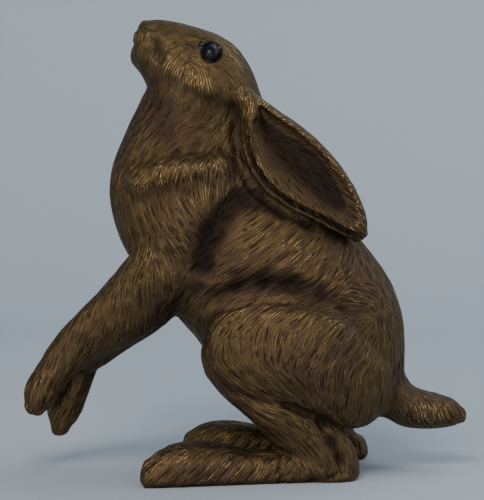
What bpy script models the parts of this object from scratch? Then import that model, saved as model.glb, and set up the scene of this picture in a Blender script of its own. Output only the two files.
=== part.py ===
"""A hare sitting up to gaze at the moon, cast in one piece, in metres with +Z up.

The hare faces -X and its left side is -Y. The origin is on the ground, under the middle of the figure.
Its limbs are lofted through sections, fused into one skin, and carved with creases and locks of fur.
A pose is free form, so sections and carving are given in 160ths of the figure's height.
"""

import math

import bmesh
import bpy
import numpy as np

# Driving dimensions, in metres
HEIGHT = 0.160            # ground to the top of the nose
STANCE = 0.047            # between the middles of the two hind feet
EYE_RADIUS = 0.0034       # of the glossy dome in its socket
SKIN_STEP = 0.00095       # spacing of the fused skin's points before it is thinned
SKIN_TRIANGLES = 9400     # faces of the finished skin

UNIT = HEIGHT / 160.0     # one modelling unit, a 160th of the height
FOOT_Y = STANCE / 2.0 / UNIT
FOOT_SPLAY = 0.145        # how far a foot's middle moves outwards for each unit towards the toes
RIGHT_FOOT_SHIFT = 5.5    # the right foot stands this much further back
RIGHT_SHANK_SHIFT = 1.5   # and the lower leg above it by this much
RIGHT_FOOT_SHARES = (0.90, 0.84)   # its length and rise, in shares of the left foot's

# Sections of each form, from one end to the other: upper x, upper z, lower x, lower z, middle y, half width
TRUNK = (
    (56.6, 31.5, 38.0, 17.0, 0.0, 15.0),
    (56.8, 41.0, 9.0, 21.0, 0.0, 25.0),
    (56.2, 54.0, -8.5, 35.0, 0.0, 27.5),
    (51.6, 67.4, -17.6, 47.0, 0.0, 27.5),
    (42.8, 79.8, -25.0, 55.5, 0.0, 26.5),
    (31.0, 93.0, -34.5, 68.0, 0.0, 25.5),
    (18.5, 105.0, -43.8, 80.8, 0.0, 24.5),
    (9.5, 115.0, -48.0, 94.6, 0.0, 22.0),
    (6.0, 124.0, -47.6, 107.2, 0.0, 19.5),
    (5.0, 132.0, -42.8, 120.0, 0.0, 17.5),
    (2.5, 138.5, -36.4, 133.5, 0.0, 15.5),
)
HEAD = (
    (-34.6, 159.6, -39.4, 151.0, 0.0, 6.0),
    (-31.0, 160.0, -39.9, 145.3, 0.0, 8.8),
    (-24.7, 159.2, -37.0, 140.5, 0.0, 10.8),
    (-17.0, 157.2, -34.2, 136.0, 0.0, 12.8),
    (-9.2, 154.4, -27.6, 131.4, 0.0, 15.3),
    (-2.5, 149.6, -18.5, 127.9, 0.0, 16.8),
    (2.2, 142.2, -8.6, 126.8, 0.0, 16.0),
    (4.8, 135.2, -1.1, 128.2, 0.0, 13.0),
    (7.4, 127.0, 2.0, 119.0, 0.0, 11.0),
    (11.4, 116.2, 6.0, 109.0, 0.0, 9.5),
    (19.0, 105.0, 14.0, 98.5, 0.0, 7.0),
)
LEFT_FORELEG = (
    (-19.6, 95.5, -8.5, 75.5, -12.0, 10.5),
    (-34.0, 85.2, -16.2, 65.4, -12.2, 11.0),
    (-43.2, 75.0, -26.1, 57.6, -10.6, 10.2),
    (-51.7, 65.0, -35.2, 48.6, -8.8, 8.8),
    (-60.5, 56.0, -46.2, 43.2, -7.2, 7.4),
    (-67.5, 48.3, -55.2, 38.4, -6.2, 6.6),
    (-75.8, 35.5, -64.0, 30.4, -6.0, 6.6),
    (-78.8, 29.6, -66.6, 25.6, -6.2, 6.6),
    (-79.0, 24.6, -70.0, 22.0, -6.2, 5.8),
)
RIGHT_FORELEG = (
    (-16.6, 91.5, -8.5, 75.0, 12.0, 10.5),
    (-31.0, 81.0, -16.2, 65.2, 11.8, 11.0),
    (-41.0, 71.0, -26.1, 57.2, 10.4, 10.2),
    (-48.5, 60.0, -34.2, 47.9, 8.8, 8.8),
    (-56.5, 50.5, -44.6, 41.9, 7.2, 7.4),
    (-62.4, 42.5, -52.4, 36.4, 6.2, 6.6),
    (-69.6, 29.5, -57.2, 24.6, 6.0, 6.6),
    (-72.4, 20.0, -60.0, 17.4, 6.2, 6.6),
    (-71.0, 13.4, -63.4, 12.8, 6.2, 5.8),
)
FORELEG_WEB = (
    (-30.0, 70.0, -24.0, 56.0, 0.0, 9.6),
    (-38.0, 64.0, -31.5, 49.4, 0.0, 9.2),
    (-47.0, 57.0, -42.0, 42.8, 0.0, 8.2),
    (-56.0, 49.0, -50.5, 37.0, 0.0, 6.8),
    (-60.0, 44.0, -54.5, 34.5, 0.0, 5.2),
)
THIGH = (
    (-13.6, 49.0, -12.8, 37.6, -18.0, 8.4),
    (-12.0, 58.2, -8.3, 30.0, -18.6, 11.2),
    (-4.4, 63.2, 4.5, 22.5, -19.5, 12.6),
    (9.5, 65.0, 18.7, 21.5, -20.0, 13.4),
    (25.4, 62.6, 30.9, 18.3, -20.0, 13.4),
    (38.4, 56.0, 41.4, 17.8, -17.0, 11.8),
    (48.2, 46.0, 48.8, 22.5, -12.5, 9.5),
)
TAIL = (
    (50.0, 38.0, 43.0, 20.5, 0.0, 14.5),
    (56.3, 34.6, 49.5, 18.3, 0.0, 13.0),
    (59.6, 30.0, 55.5, 15.2, 0.0, 11.0),
    (63.2, 28.3, 60.5, 14.3, 0.0, 9.4),
    (68.0, 27.0, 66.0, 14.1, 0.0, 8.2),
    (74.2, 25.0, 73.2, 14.8, 0.0, 6.0),
    (78.0, 21.6, 77.6, 16.0, 0.0, 3.5),
)
EAR = (
    (2.2, 135.5, -2.6, 130.5, -12.5, 3.6),
    (6.8, 131.4, -2.0, 124.0, -14.6, 4.4),
    (12.6, 127.2, -1.4, 116.8, -16.6, 4.8),
    (19.2, 122.7, 1.2, 108.4, -18.2, 5.0),
    (26.8, 116.4, 5.8, 101.6, -19.2, 4.8),
    (33.8, 108.2, 14.1, 95.4, -19.0, 4.5),
    (38.7, 100.0, 24.2, 90.6, -17.8, 4.1),
    (41.7, 92.0, 31.8, 86.4, -16.0, 3.6),
    (42.3, 86.5, 37.2, 83.4, -14.8, 2.8),
)
EAR_RIM = 1.7             # wall left above the hollow of an ear
EAR_ROOT_ROW = 1          # the section of an ear where its hollow starts
# From the root to the tip: the lip left below the hollow, and how deep the hollow goes
EAR_HOLLOW = ((6.4, 2.6), (4.0, 4.6), (3.7, 5.0), (3.9, 4.8), (4.0, 4.0), (3.6, 2.6), (3.2, 1.0))
EAR_SCOOPS = ((1.0, 0.55), (0.62, 1.0))    # breadth from the rim and share of the depth
EAR_GROOVE_INSET = 1.7    # from the lower edge of an ear to the groove under its lip
EAR_GROOVE_HALF_WIDTH = 0.9
EAR_GROOVE_DEPTH = 1.6


def shank(foot_y):
    """Sections of a left lower hind leg, from inside the knee back and down to the heel."""
    return (
        (-7.0, 48.0, -14.3, 36.4, -19.0, 7.5),
        (5.5, 37.0, -7.6, 29.0, -20.0, 8.8),
        (20.5, 27.8, 1.3, 21.4, -0.92 * foot_y, 9.0),
        (33.5, 18.0, 7.6, 14.3, -0.88 * foot_y, 8.6),
        (39.0, 8.5, 11.8, 8.0, -0.86 * foot_y, 7.8),
        (39.6, 0.5, 13.6, 0.5, -0.86 * foot_y, 7.8),
    )


def foot(foot_y, length, rise):
    """Sections of a left hind foot, from the heel forward to the toes, reaching below the ground.

    The length and rise are shares of those of the left foot.
    """
    heel = 37.0
    middles = ((0.0, 9.8, 7.0), (11.0, 10.6, 8.2), (25.0, 10.8, 8.0), (36.0, 11.2, 8.2),
               (46.0, 13.6, 8.8), (56.0, 14.4, 9.4), (64.5, 12.8, 9.4), (71.2, 8.6, 8.4))
    below_ground = -3.5
    rows = []
    for back, top, half in middles:
        x = heel - back * length
        rows.append((x, top * rise, x, below_ground, -(foot_y - FOOT_SPLAY * x), half))
    return tuple(rows)


# Bumps worked into the skin from the side: x, z, radius, height
BUMPS = (
    (-15.5, 138.5, 9.0, 1.5),      # cheek
    (-12.0, 152.6, 4.2, 0.9),      # brow
    (-35.2, 151.0, 4.2, 0.9),      # whisker pad
    (-37.5, 147.0, 3.2, 0.8),      # chin and lower lip
    (-34.5, 158.0, 1.8, 0.6),      # nose
    (-30.5, 150.0, 3.4, -1.0),     # dip behind the whisker pad
    (-30.0, 100.0, 14.0, 1.5),     # breast
    (-20.0, 90.0, 9.0, 1.2),       # point of the shoulder
    (26.0, 84.0, 17.0, 1.0),       # ribs
    (10.0, 46.0, 15.0, 1.6),       # muscle of the thigh
    (29.0, 8.0, 6.0, 1.0),         # ankle
)

# Ridges and creases drawn on the skin from the side: path of (x, z), half width, height
LINES = (
    (((-41.0, 101.5), (-37.0, 104.0), (-28.0, 107.0), (-19.6, 108.3), (-4.0, 110.0)), 4.0, 2.2),
    (((-38.0, 97.5), (-28.0, 99.5), (-18.0, 100.5)), 3.0, -0.6),
    (((-40.0, 110.5), (-28.0, 114.0), (-16.0, 115.5), (-5.0, 116.0)), 2.8, -0.9),
    (((-36.0, 133.5), (-29.0, 129.5), (-19.0, 126.0), (-8.0, 125.0), (-2.0, 126.0)), 3.6, -1.2),
    (((-29.5, 147.5), (-24.0, 143.0), (-18.0, 139.5), (-11.0, 136.5)), 3.4, 0.9),
    (((-31.0, 140.0), (-24.0, 135.0), (-14.0, 131.5)), 3.0, -0.7),
    (((-38.5, 154.3), (-35.0, 154.6), (-31.4, 153.6)), 1.4, 1.2),
    (((-36.4, 156.9), (-34.0, 156.9), (-31.5, 155.6)), 0.8, -0.9),
    (((-31.0, 153.0), (-30.2, 150.8), (-30.2, 147.4)), 1.4, -0.5),
    (((-0.8, 133.8), (2.0, 130.0), (3.4, 125.0)), 2.0, 1.1),
    (((-17.5, 150.9), (-21.0, 152.4)), 1.5, -0.7),
    (((-3.6, 127.0), (-3.8, 118.0), (-2.6, 109.5), (2.4, 100.6), (12.0, 93.4), (24.0, 88.0)), 1.3, -0.7),
    (((1.8, 100.0), (-6.5, 94.5), (-10.9, 88.0), (-14.2, 78.5), (-16.2, 70.0)), 4.8, -2.8),
    (((-15.0, 61.5), (-6.0, 66.2), (6.0, 68.6), (16.0, 68.6), (28.0, 64.8), (39.0, 59.5)), 3.3, -2.2),
    (((-12.0, 53.5), (-4.0, 58.8), (10.0, 60.8), (24.5, 58.4), (37.0, 52.6)), 2.6, 0.6),
    (((-43.0, 78.0), (-36.0, 80.5), (-26.0, 81.5)), 2.6, 1.0),
    (((12.0, 28.5), (18.0, 26.0), (24.0, 23.5)), 1.4, -0.8),
    (((25.2, 23.8), (27.3, 19.5), (29.0, 14.8), (31.1, 10.2), (33.6, 4.5)), 2.2, -1.9),
    (((33.6, 4.5), (30.1, 2.1), (25.1, 0.7), (20.0, 0.0)), 1.1, -0.9),
    (((-72.0, 20.4), (-68.8, 24.6), (-65.9, 27.8), (-62.3, 35.0)), 1.1, -1.5),
)

# The eye seen from the side: its middle's x and z, and how far its dome stands out
EYE_MIDDLE = (-11.9, 148.6)
EYE_DOME = 1.5

# The muzzle seen from the front: bumps of y, z, radius, height, and lines of (y, z), half width, height
MUZZLE_BACK = -33.0
MUZZLE_BUMPS = (
    (0.0, 157.6, 2.6, 0.7),        # nose pad
    (-4.2, 153.6, 2.8, 0.6), (4.2, 153.6, 2.8, 0.6),     # whisker pads
    (-2.6, 156.8, 1.0, -0.6), (2.6, 156.8, 1.0, -0.6),   # nostrils
    (0.0, 147.6, 3.4, 0.9),        # chin
)
MUZZLE_LINES = (
    (((0.0, 156.4), (0.0, 151.8)), 0.9, -0.8),
    (((-5.4, 149.9), (-2.4, 151.2), (0.0, 151.7), (2.4, 151.2), (5.4, 149.9)), 0.9, -0.4),
)

# Slots between the toes, seen from above a foot or from the front of a paw
TOE_SLOTS = (-0.52, 0.0, 0.52)   # across the foot, in shares of its half width
TOE_SLOT_HALF_WIDTH = 0.9
TOE_SLOT_DEPTH = 1.5             # on the feet
TOE_TOP = 16.0                   # the feet's slots stay below this height
TOE_RUN_OUT = 5.0                # length over which a slot fades out
FOOT_HALF_WIDTH = 8.6
FOOT_TOE_TO = -27.0              # where the slots of the left foot end, towards its heel
RIGHT_TOE_BACK = 12.5            # how much further back those of the right foot end
LEFT_PAW_TIP = (-73.5, 22.5)     # x and z
RIGHT_PAW_TIP = (-67.0, 12.5)
PAW_MIDDLE_Y = 6.8
PAW_HALF_WIDTH = 6.2
PAW_SLOT_DEPTH = 1.1
PAW_TOE_REACH = 7.0              # how far up a paw its slots run from the tip
PAW_TOE_START = 1.6              # depth at the tip before it is capped at full

# How the fur lies, seen from the side: x, z and the slant of its strokes in degrees above the horizontal
FUR_GUIDES = (
    (-36.0, 150.0, 80.0), (-35.0, 143.0, 78.0), (-25.0, 147.0, 62.0), (-29.0, 143.0, 57.0),
    (-19.0, 139.0, 77.0), (-23.0, 145.0, 60.0), (-15.0, 138.0, 100.0), (-16.0, 145.0, 140.0),
    (-11.0, 136.0, 100.0), (-5.0, 142.0, 138.0), (-4.0, 148.0, 132.0), (-2.0, 139.0, 135.0),
    (-8.0, 152.0, 150.0), (-21.0, 154.0, 167.0), (-26.0, 151.0, 55.0), (0.0, 132.0, 78.0),
    (1.0, 128.0, 90.0), (-30.0, 137.0, 85.0), (-34.0, 135.0, 80.0), (-16.0, 131.0, 88.0),
    (-7.0, 131.0, 112.0), (-8.0, 128.0, 62.0), (-31.0, 129.0, 60.0), (-24.0, 126.0, 45.0),
    (-16.0, 125.0, 33.0), (-38.0, 124.0, 55.0), (-41.0, 114.0, 52.0), (-32.0, 122.0, 47.0),
    (-23.0, 116.0, 35.0), (-12.0, 117.0, 47.0), (-7.0, 122.0, 55.0), (-36.0, 106.0, 62.0),
    (-23.0, 109.0, 70.0), (-14.0, 111.0, 60.0), (-8.0, 111.0, 118.0), (-16.0, 104.0, 104.0),
    (-12.0, 104.0, 86.0), (-30.0, 100.0, 110.0), (-37.0, 98.0, 100.0), (-33.0, 93.0, 114.0),
    (-26.0, 91.0, 118.0), (-20.0, 90.0, 125.0), (-25.0, 85.0, 128.0), (-44.0, 89.0, 97.0),
    (-33.0, 79.0, 76.0), (-29.0, 77.0, 114.0), (-39.0, 73.0, 62.0), (-48.0, 64.0, 76.0),
    (-41.0, 68.0, 85.0), (-30.0, 68.0, 92.0), (-34.0, 61.0, 95.0), (-17.0, 66.0, 50.0),
    (-62.0, 47.0, 70.0), (-71.0, 35.0, 70.0), (-76.0, 27.0, 76.0), (-66.0, 20.0, 62.0),
    (0.0, 99.0, 35.0), (8.0, 88.0, 38.0), (20.0, 82.0, 45.0), (32.0, 76.0, 62.0),
    (42.0, 72.0, 75.0), (50.0, 60.0, 98.0), (53.0, 46.0, 100.0), (-2.0, 83.0, 33.0),
    (-2.0, 78.0, 35.0), (-9.0, 75.0, 40.0), (-6.0, 71.0, 25.0), (-2.0, 63.0, 27.0),
    (-6.0, 57.0, 47.0), (16.0, 70.0, 22.0), (26.0, 74.0, 50.0), (34.0, 70.0, 35.0),
    (39.0, 61.0, 175.0), (40.0, 65.6, 165.0), (13.0, 60.5, 42.0), (2.0, 57.0, 48.0),
    (-12.0, 48.0, 72.0), (-4.0, 48.0, 102.0), (6.0, 51.0, 86.0), (12.0, 46.0, 80.0),
    (18.6, 47.5, 67.0), (25.0, 44.6, 54.0), (36.0, 52.6, 42.0), (40.0, 43.5, 40.0),
    (9.0, 40.0, 132.0), (15.0, 36.0, 130.0), (-6.6, 38.0, 142.0), (1.0, 31.0, 148.0),
    (11.0, 27.5, 162.0), (24.0, 32.0, 104.0), (29.0, 34.0, 92.0), (37.0, 32.0, 86.0),
    (46.0, 30.0, 80.0), (12.0, 18.0, 140.0), (22.0, 15.0, 128.0), (31.0, 11.0, 116.0),
    (37.0, 6.0, 100.0), (-24.0, 8.0, 45.0), (-8.0, 7.0, 45.0), (8.0, 6.0, 55.0),
    (58.0, 23.0, 108.0), (68.0, 21.0, 114.0), (75.0, 19.0, 122.0),
)
FUR_GUIDE_REACH = 9.0     # units over which one guide gives way to the next
FUR_GUIDE_BLUR = 4.0      # square units that keep a guide from ruling alone beside its own place

# Locks of fur: broad slots between tufts
LOCK_COUNT = 430
LOCK_LENGTH = 13.0
LOCK_HALF_WIDTH = 1.5
LOCK_DEPTH = 0.75
LOCK_GAP = 6.5            # least distance between the middles of two slots
LOCK_LOWEST = 3.0         # no slot starts below this height
LOCK_THICKNESS = 5.0      # a slot leaves alone what lies further than this above or below its own place
LOCK_SEED = 7
EAR_MARGIN = 1.0          # the coat's locks keep this far from an ear's edge
EAR_NEAREST_Y = 12.0      # an ear lies further than this from the middle of the body
EYE_CLEARING = 7.5        # radius round the eye that has no locks
EYE_NEAREST_Y = 6.0


def smooth_rows(rows, steps):
    """Carry a smooth curve through rows of numbers, with steps new rows from each row to the next."""
    rows = np.asarray(rows, dtype=float)
    ends = np.vstack([2 * rows[0] - rows[1], rows, 2 * rows[-1] - rows[-2]])
    share = (np.arange(steps) / steps)[:, None]
    pieces = []
    for a, b, c, d in zip(ends[:-3], ends[1:-2], ends[2:-1], ends[3:]):
        pieces.append(0.5 * (2 * b + (c - a) * share + (2 * a - 5 * b + 4 * c - d) * share ** 2
                             + (3 * b - a - 3 * c + d) * share ** 3))
    pieces.append(rows[-1:])
    return np.vstack(pieces)


def rounded_ends(centres, halves, widths, bulge, rings=5):
    """Close both ends of a loft with domes, by shrinking copies of the end sections."""
    angles = np.linspace(0, math.pi / 2, rings + 1)[1:-1]
    ends = []
    for end, inner in ((0, 1), (-1, -2)):
        outward = centres[end] - centres[inner]
        outward /= np.linalg.norm(outward)
        reach = bulge * min(np.linalg.norm(halves[end]), widths[end])
        ring_centres = centres[end] + outward * (reach * np.sin(angles))[:, None]
        ring_halves = halves[end] * np.cos(angles)[:, None]
        ring_widths = widths[end] * np.cos(angles)
        order = slice(None, None, -1) if end == 0 else slice(None)
        ends.append((ring_centres[order], ring_halves[order], ring_widths[order],
                     centres[end] + outward * reach))
    first, last = ends
    centres = np.vstack([first[0], centres, last[0]])
    halves = np.vstack([first[1], halves, last[1]])
    widths = np.concatenate([first[2], widths, last[2]])
    return centres, halves, widths, first[3], last[3]


def loft(name, rows, steps=6, sides=32, bulge=0.7, squareness=2.2, egg=0.0):
    """Make a closed form through oval sections that stand across the body from side to side."""
    rows = smooth_rows(rows, steps)
    upper = np.stack([rows[:, 0], rows[:, 4], rows[:, 1]], axis=1)
    lower = np.stack([rows[:, 2], rows[:, 4], rows[:, 3]], axis=1)
    centres, halves, widths, first_tip, last_tip = rounded_ends(
        (upper + lower) / 2, (upper - lower) / 2, rows[:, 5], bulge)
    turn = np.arange(sides) * 2 * math.pi / sides
    up = np.sign(np.cos(turn)) * np.abs(np.cos(turn)) ** (2 / squareness)
    across = np.sign(np.sin(turn)) * np.abs(np.sin(turn)) ** (2 / squareness) * (1 - egg * np.cos(turn))
    rings = (centres[:, None, :] + halves[:, None, :] * up[None, :, None])
    rings[:, :, 1] += widths[:, None] * across[None, :]
    points = np.vstack([rings.reshape(-1, 3), first_tip, last_tip]) * UNIT
    count = len(rings)
    faces = []
    for ring in range(count - 1):
        for side in range(sides):
            other = (side + 1) % sides
            faces.append((ring * sides + side, ring * sides + other,
                          (ring + 1) * sides + other, (ring + 1) * sides + side))
    for side in range(sides):
        other = (side + 1) % sides
        faces.append((count * sides, other, side))
        faces.append((count * sides + 1, (count - 1) * sides + side, (count - 1) * sides + other))
    mesh = bpy.data.meshes.new(name)
    mesh.from_pydata(points.tolist(), [], faces)
    face_outwards(mesh)
    return bpy.data.objects.new(name, mesh)


def face_outwards(mesh):
    """Turn every face of a closed mesh outwards."""
    shape = bmesh.new()
    shape.from_mesh(mesh)
    bmesh.ops.recalc_face_normals(shape, faces=shape.faces)
    shape.to_mesh(mesh)
    shape.free()


def mirrored(rows):
    """The same sections on the other side of the body."""
    return tuple(row[:4] + (-row[4], row[5]) for row in rows)


def shifted(rows, along):
    """The same sections moved along the body."""
    return tuple((row[0] + along, row[1], row[2] + along) + row[3:] for row in rows)


def ear_hollow(rows, breadth, share):
    """Sections of the space inside a left ear: the ear's own, drawn in by its rim and lip and moved outwards.

    The breadth is how much of the way from the rim to the lip it takes, and the share is of the full depth.
    """
    inner = []
    for (ux, uz, lx, lz, y, half), (lip, depth) in zip(rows[EAR_ROOT_ROW:], EAR_HOLLOW):
        width = math.hypot(ux - lx, uz - lz)
        above = EAR_RIM / width
        below = 1 - above - (1 - above - lip / width) * breadth
        inner.append((ux + (lx - ux) * above, uz + (lz - uz) * above,
                      lx + (ux - lx) * below, lz + (uz - lz) * below,
                      y - half, depth * share))
    return tuple(inner)


def ear_groove(rows):
    """Path of the groove that parts the lip of an ear from its lower edge, seen from the side."""
    path = []
    for ux, uz, lx, lz, _, _ in rows[EAR_ROOT_ROW:]:
        inset = EAR_GROOVE_INSET / math.hypot(ux - lx, uz - lz)
        path.append((lx + (ux - lx) * inset, lz + (uz - lz) * inset))
    return path


def body_forms(collection):
    """Loft every part of the body, and hollow the ears, into one collection."""
    forms = [loft("trunk", TRUNK, sides=40, bulge=0.45, squareness=2.3, egg=0.10),
             loft("head", HEAD, sides=36, bulge=0.35, squareness=2.15, egg=0.16),
             loft("foreleg_left", LEFT_FORELEG, bulge=0.8),
             loft("foreleg_right", RIGHT_FORELEG, bulge=0.8),
             loft("foreleg_web", FORELEG_WEB, bulge=0.6),
             loft("thigh_left", THIGH, bulge=0.5),
             loft("thigh_right", mirrored(THIGH), bulge=0.5),
             loft("tail", TAIL, bulge=0.5)]
    for part, left, right, shift in (
            ("shank", shank(FOOT_Y), shank(FOOT_Y), RIGHT_SHANK_SHIFT),
            ("foot", foot(FOOT_Y, 1.0, 1.0), foot(FOOT_Y, *RIGHT_FOOT_SHARES), RIGHT_FOOT_SHIFT)):
        forms.append(loft(part + "_left", left, bulge=0.45, squareness=2.5))
        forms.append(loft(part + "_right", shifted(mirrored(right), shift), bulge=0.45, squareness=2.5))
    hollows = []
    for number, (breadth, share) in enumerate(EAR_SCOOPS):
        rows = ear_hollow(EAR, breadth, share)
        hollows.append(loft(f"hollow_left_{number}", rows, bulge=0.6, squareness=2.3))
        hollows.append(loft(f"hollow_right_{number}", mirrored(rows), bulge=0.6, squareness=2.3))
    cutters = new_collection("hare_cutters")
    for hollow in hollows:
        cutters.objects.link(hollow)
        hollow.hide_render = True
        hollow.display_type = 'WIRE'
    ears = [loft("ear_left", EAR, bulge=0.6, squareness=2.6),
            loft("ear_right", mirrored(EAR), bulge=0.6, squareness=2.6)]
    for form in forms[:2] + ears:
        for hollow in hollows:
            cut = form.modifiers.new("ear_hollow", 'BOOLEAN')
            cut.operation = 'DIFFERENCE'
            cut.object = hollow
    for form in forms + ears:
        collection.objects.link(form)
    return forms + ears, hollows


def new_collection(name):
    """Add a named collection to the scene."""
    collection = bpy.data.collections.new(name)
    bpy.context.scene.collection.children.link(collection)
    return collection


def evaluated_mesh(item):
    """The mesh of an object with its modifiers applied."""
    depsgraph = bpy.context.evaluated_depsgraph_get()
    return bpy.data.meshes.new_from_object(item.evaluated_get(depsgraph))


def fuse(forms, hollows, collection):
    """Join the forms and draw one even skin round all of them."""
    joined = bmesh.new()
    for form in forms:
        mesh = evaluated_mesh(form)
        joined.from_mesh(mesh)
        bpy.data.meshes.remove(mesh)
    mesh = bpy.data.meshes.new("hare")
    joined.to_mesh(mesh)
    joined.free()
    hare = bpy.data.objects.new("hare", mesh)
    collection.objects.link(hare)
    skin = hare.modifiers.new("skin", 'REMESH')
    skin.mode = 'VOXEL'
    skin.voxel_size = SKIN_STEP
    hare.data = evaluated_mesh(hare)
    hare.modifiers.clear()
    for item in forms + hollows:
        bpy.data.objects.remove(item)
    return hare


class Skin:
    """The points of a mesh as arrays, in modelling units, with what carving needs to know of them."""

    def __init__(self, mesh):
        count = len(mesh.vertices)
        self.mesh = mesh
        self.points = np.empty(count * 3)
        mesh.vertices.foreach_get("co", self.points)
        self.points = self.points.reshape(-1, 3) / UNIT
        self.edges = np.empty(len(mesh.edges) * 2, dtype=np.int64)
        mesh.edges.foreach_get("vertices", self.edges)
        self.edges = self.edges.reshape(-1, 2)
        self.links = np.bincount(self.edges.ravel(), minlength=count)
        self.normals = None
        self.write()

    def write(self):
        """Put the points back in the mesh and read its new normals."""
        self.mesh.vertices.foreach_set("co", (self.points * UNIT).ravel())
        self.mesh.update()
        normals = np.empty(len(self.points) * 3)
        self.mesh.vertices.foreach_get("normal", normals)
        self.normals = normals.reshape(-1, 3)

    def neighbour_mean(self, values):
        """Mean of each point's neighbours, for rows of values."""
        first, second = self.edges.T
        total = np.stack([np.bincount(first, column[second], len(self.points))
                          + np.bincount(second, column[first], len(self.points))
                          for column in values.T], axis=1)
        return total / self.links[:, None]

    def relax(self, strength, passes):
        """Draw each point towards its neighbours, then push back, which softens without shrinking."""
        push_back = -1.03
        for _ in range(passes):
            for share in (strength, push_back * strength):
                self.points += share * (self.neighbour_mean(self.points) - self.points)
        self.write()

    def push(self, heights):
        """Move each point along its normal."""
        self.points += self.normals * heights[:, None]
        self.write()


def path_distance(flat, path):
    """Distance from flat points to a bent line, and how far along the line the nearest place is."""
    path = np.asarray(path, dtype=float)
    lengths = np.linalg.norm(np.diff(path, axis=0), axis=1)
    starts = np.concatenate([[0.0], np.cumsum(lengths)])
    nearest = np.full(len(flat), np.inf)
    along = np.zeros(len(flat))
    for start, end, length, begin in zip(path[:-1], path[1:], lengths, starts):
        share = np.clip((flat - start) @ (end - start) / length ** 2, 0, 1)
        distance = np.linalg.norm(flat - start - share[:, None] * (end - start), axis=1)
        closer = distance < nearest
        nearest[closer] = distance[closer]
        along[closer] = (begin + share * length)[closer]
    return nearest, along / starts[-1]


def front_heights(skin):
    """Height of the creases and dimples that are drawn on the muzzle from the front."""
    flat = skin.points[:, [1, 2]]
    facing = np.clip(-skin.normals[:, 0] * 1.6 - 0.2, 0, 1) * (skin.points[:, 0] < MUZZLE_BACK)
    heights = np.zeros(len(flat))
    for y, z, radius, height in MUZZLE_BUMPS:
        heights += height * facing * bell(np.linalg.norm(flat - (y, z), axis=1), radius)
    for path, half_width, height in MUZZLE_LINES:
        heights += height * facing * bell(path_distance(flat, path)[0], half_width)
    return heights


def bell(distance, radius):
    """A smooth bump that is 1 at its middle and fades over its radius."""
    return np.exp(-(distance / radius) ** 2)


def side_heights(skin):
    """Height of every bump, ridge and crease that is drawn from the side."""
    flat = skin.points[:, [0, 2]]
    facing = np.clip(np.abs(skin.normals[:, 1]) * 1.6, 0, 1)
    heights = np.zeros(len(flat))
    for x, z, radius, height in BUMPS:
        heights += height * facing * bell(np.linalg.norm(flat - (x, z), axis=1), radius)
    groove = (ear_groove(EAR), EAR_GROOVE_HALF_WIDTH, -EAR_GROOVE_DEPTH)
    for path, half_width, height in LINES + (groove,):
        distance, along = path_distance(flat, path)
        fade = np.clip(np.minimum(along, 1 - along) * 8 + 0.25, 0, 1)
        heights += height * facing * fade * bell(distance, half_width)
    return heights


def eye_heights(skin):
    """The eye's dome, the slot round it and its lid, on both sides of the head."""
    radius = EYE_RADIUS / UNIT
    slot_from_edge, slot_depth, slot_width = 0.2, 1.0, 0.7
    lid_from_edge, lid_height, lid_width = 1.7, 0.6, 0.8
    distance = np.linalg.norm(skin.points[:, [0, 2]] - EYE_MIDDLE, axis=1)
    facing = np.clip(np.abs(skin.normals[:, 1]) * 2, 0, 1)
    heights = EYE_DOME * np.sqrt(np.clip(1 - (distance / radius) ** 2, 0, 1))
    heights -= slot_depth * bell(distance - radius - slot_from_edge, slot_width)
    heights += lid_height * bell(distance - radius - lid_from_edge, lid_width)
    return heights * facing


def toe_heights(skin):
    """Slots between the toes of both feet and both paws."""
    x, y, z = skin.points.T
    heights = np.zeros(len(x))
    for side, shift, back in ((-1, 0.0, 0.0), (1, RIGHT_FOOT_SHIFT, RIGHT_TOE_BACK)):
        middle = side * (FOOT_Y - FOOT_SPLAY * (x - shift))
        reach = np.clip((FOOT_TOE_TO + back - x) / TOE_RUN_OUT, 0, 1) * (z < TOE_TOP) * (y * side > 0)
        for share in TOE_SLOTS:
            across = y - middle - share * FOOT_HALF_WIDTH
            heights -= TOE_SLOT_DEPTH * reach * bell(across, TOE_SLOT_HALF_WIDTH)
    for side, (tip_x, tip_z) in ((-1, LEFT_PAW_TIP), (1, RIGHT_PAW_TIP)):
        distance = np.hypot(x - tip_x, z - tip_z)
        reach = np.clip(PAW_TOE_START - distance / PAW_TOE_REACH, 0, 1) * (y * side > 0)
        for share in TOE_SLOTS:
            across = y - side * PAW_MIDDLE_Y - share * PAW_HALF_WIDTH
            heights -= PAW_SLOT_DEPTH * reach * bell(across, TOE_SLOT_HALF_WIDTH)
    return heights


def fur_direction(points, normals):
    """Lie of the fur at each point: the guides' slants, blended by distance and laid in the surface.

    Along the middle of the back, chest and belly the fur follows the body's own line instead.
    """
    guides = np.asarray(FUR_GUIDES)
    slants = np.radians(guides[:, 2]) * 2
    gap = ((points[:, None, [0, 2]] - guides[None, :, :2]) ** 2).sum(axis=2)
    weight = 1 / (gap + FUR_GUIDE_BLUR) ** 2 * np.exp(-gap / (2 * (3 * FUR_GUIDE_REACH) ** 2))
    angle = np.arctan2(weight @ np.sin(slants), weight @ np.cos(slants)) / 2
    lie = np.stack([np.cos(angle), np.zeros(len(angle)), np.sin(angle)], axis=1)
    body_line = np.stack([-normals[:, 2], np.zeros(len(angle)), normals[:, 0]], axis=1)
    body_line *= np.where((body_line * lie).sum(axis=1) < 0, -1.0, 1.0)[:, None]
    share = np.clip(np.abs(normals[:, 1]) * 1.5, 0, 1)[:, None]
    lie = lie * share + body_line * (1 - share)
    lie -= normals * (lie * normals).sum(axis=1)[:, None]
    return lie / np.maximum(np.linalg.norm(lie, axis=1), 1e-6)[:, None]


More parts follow.
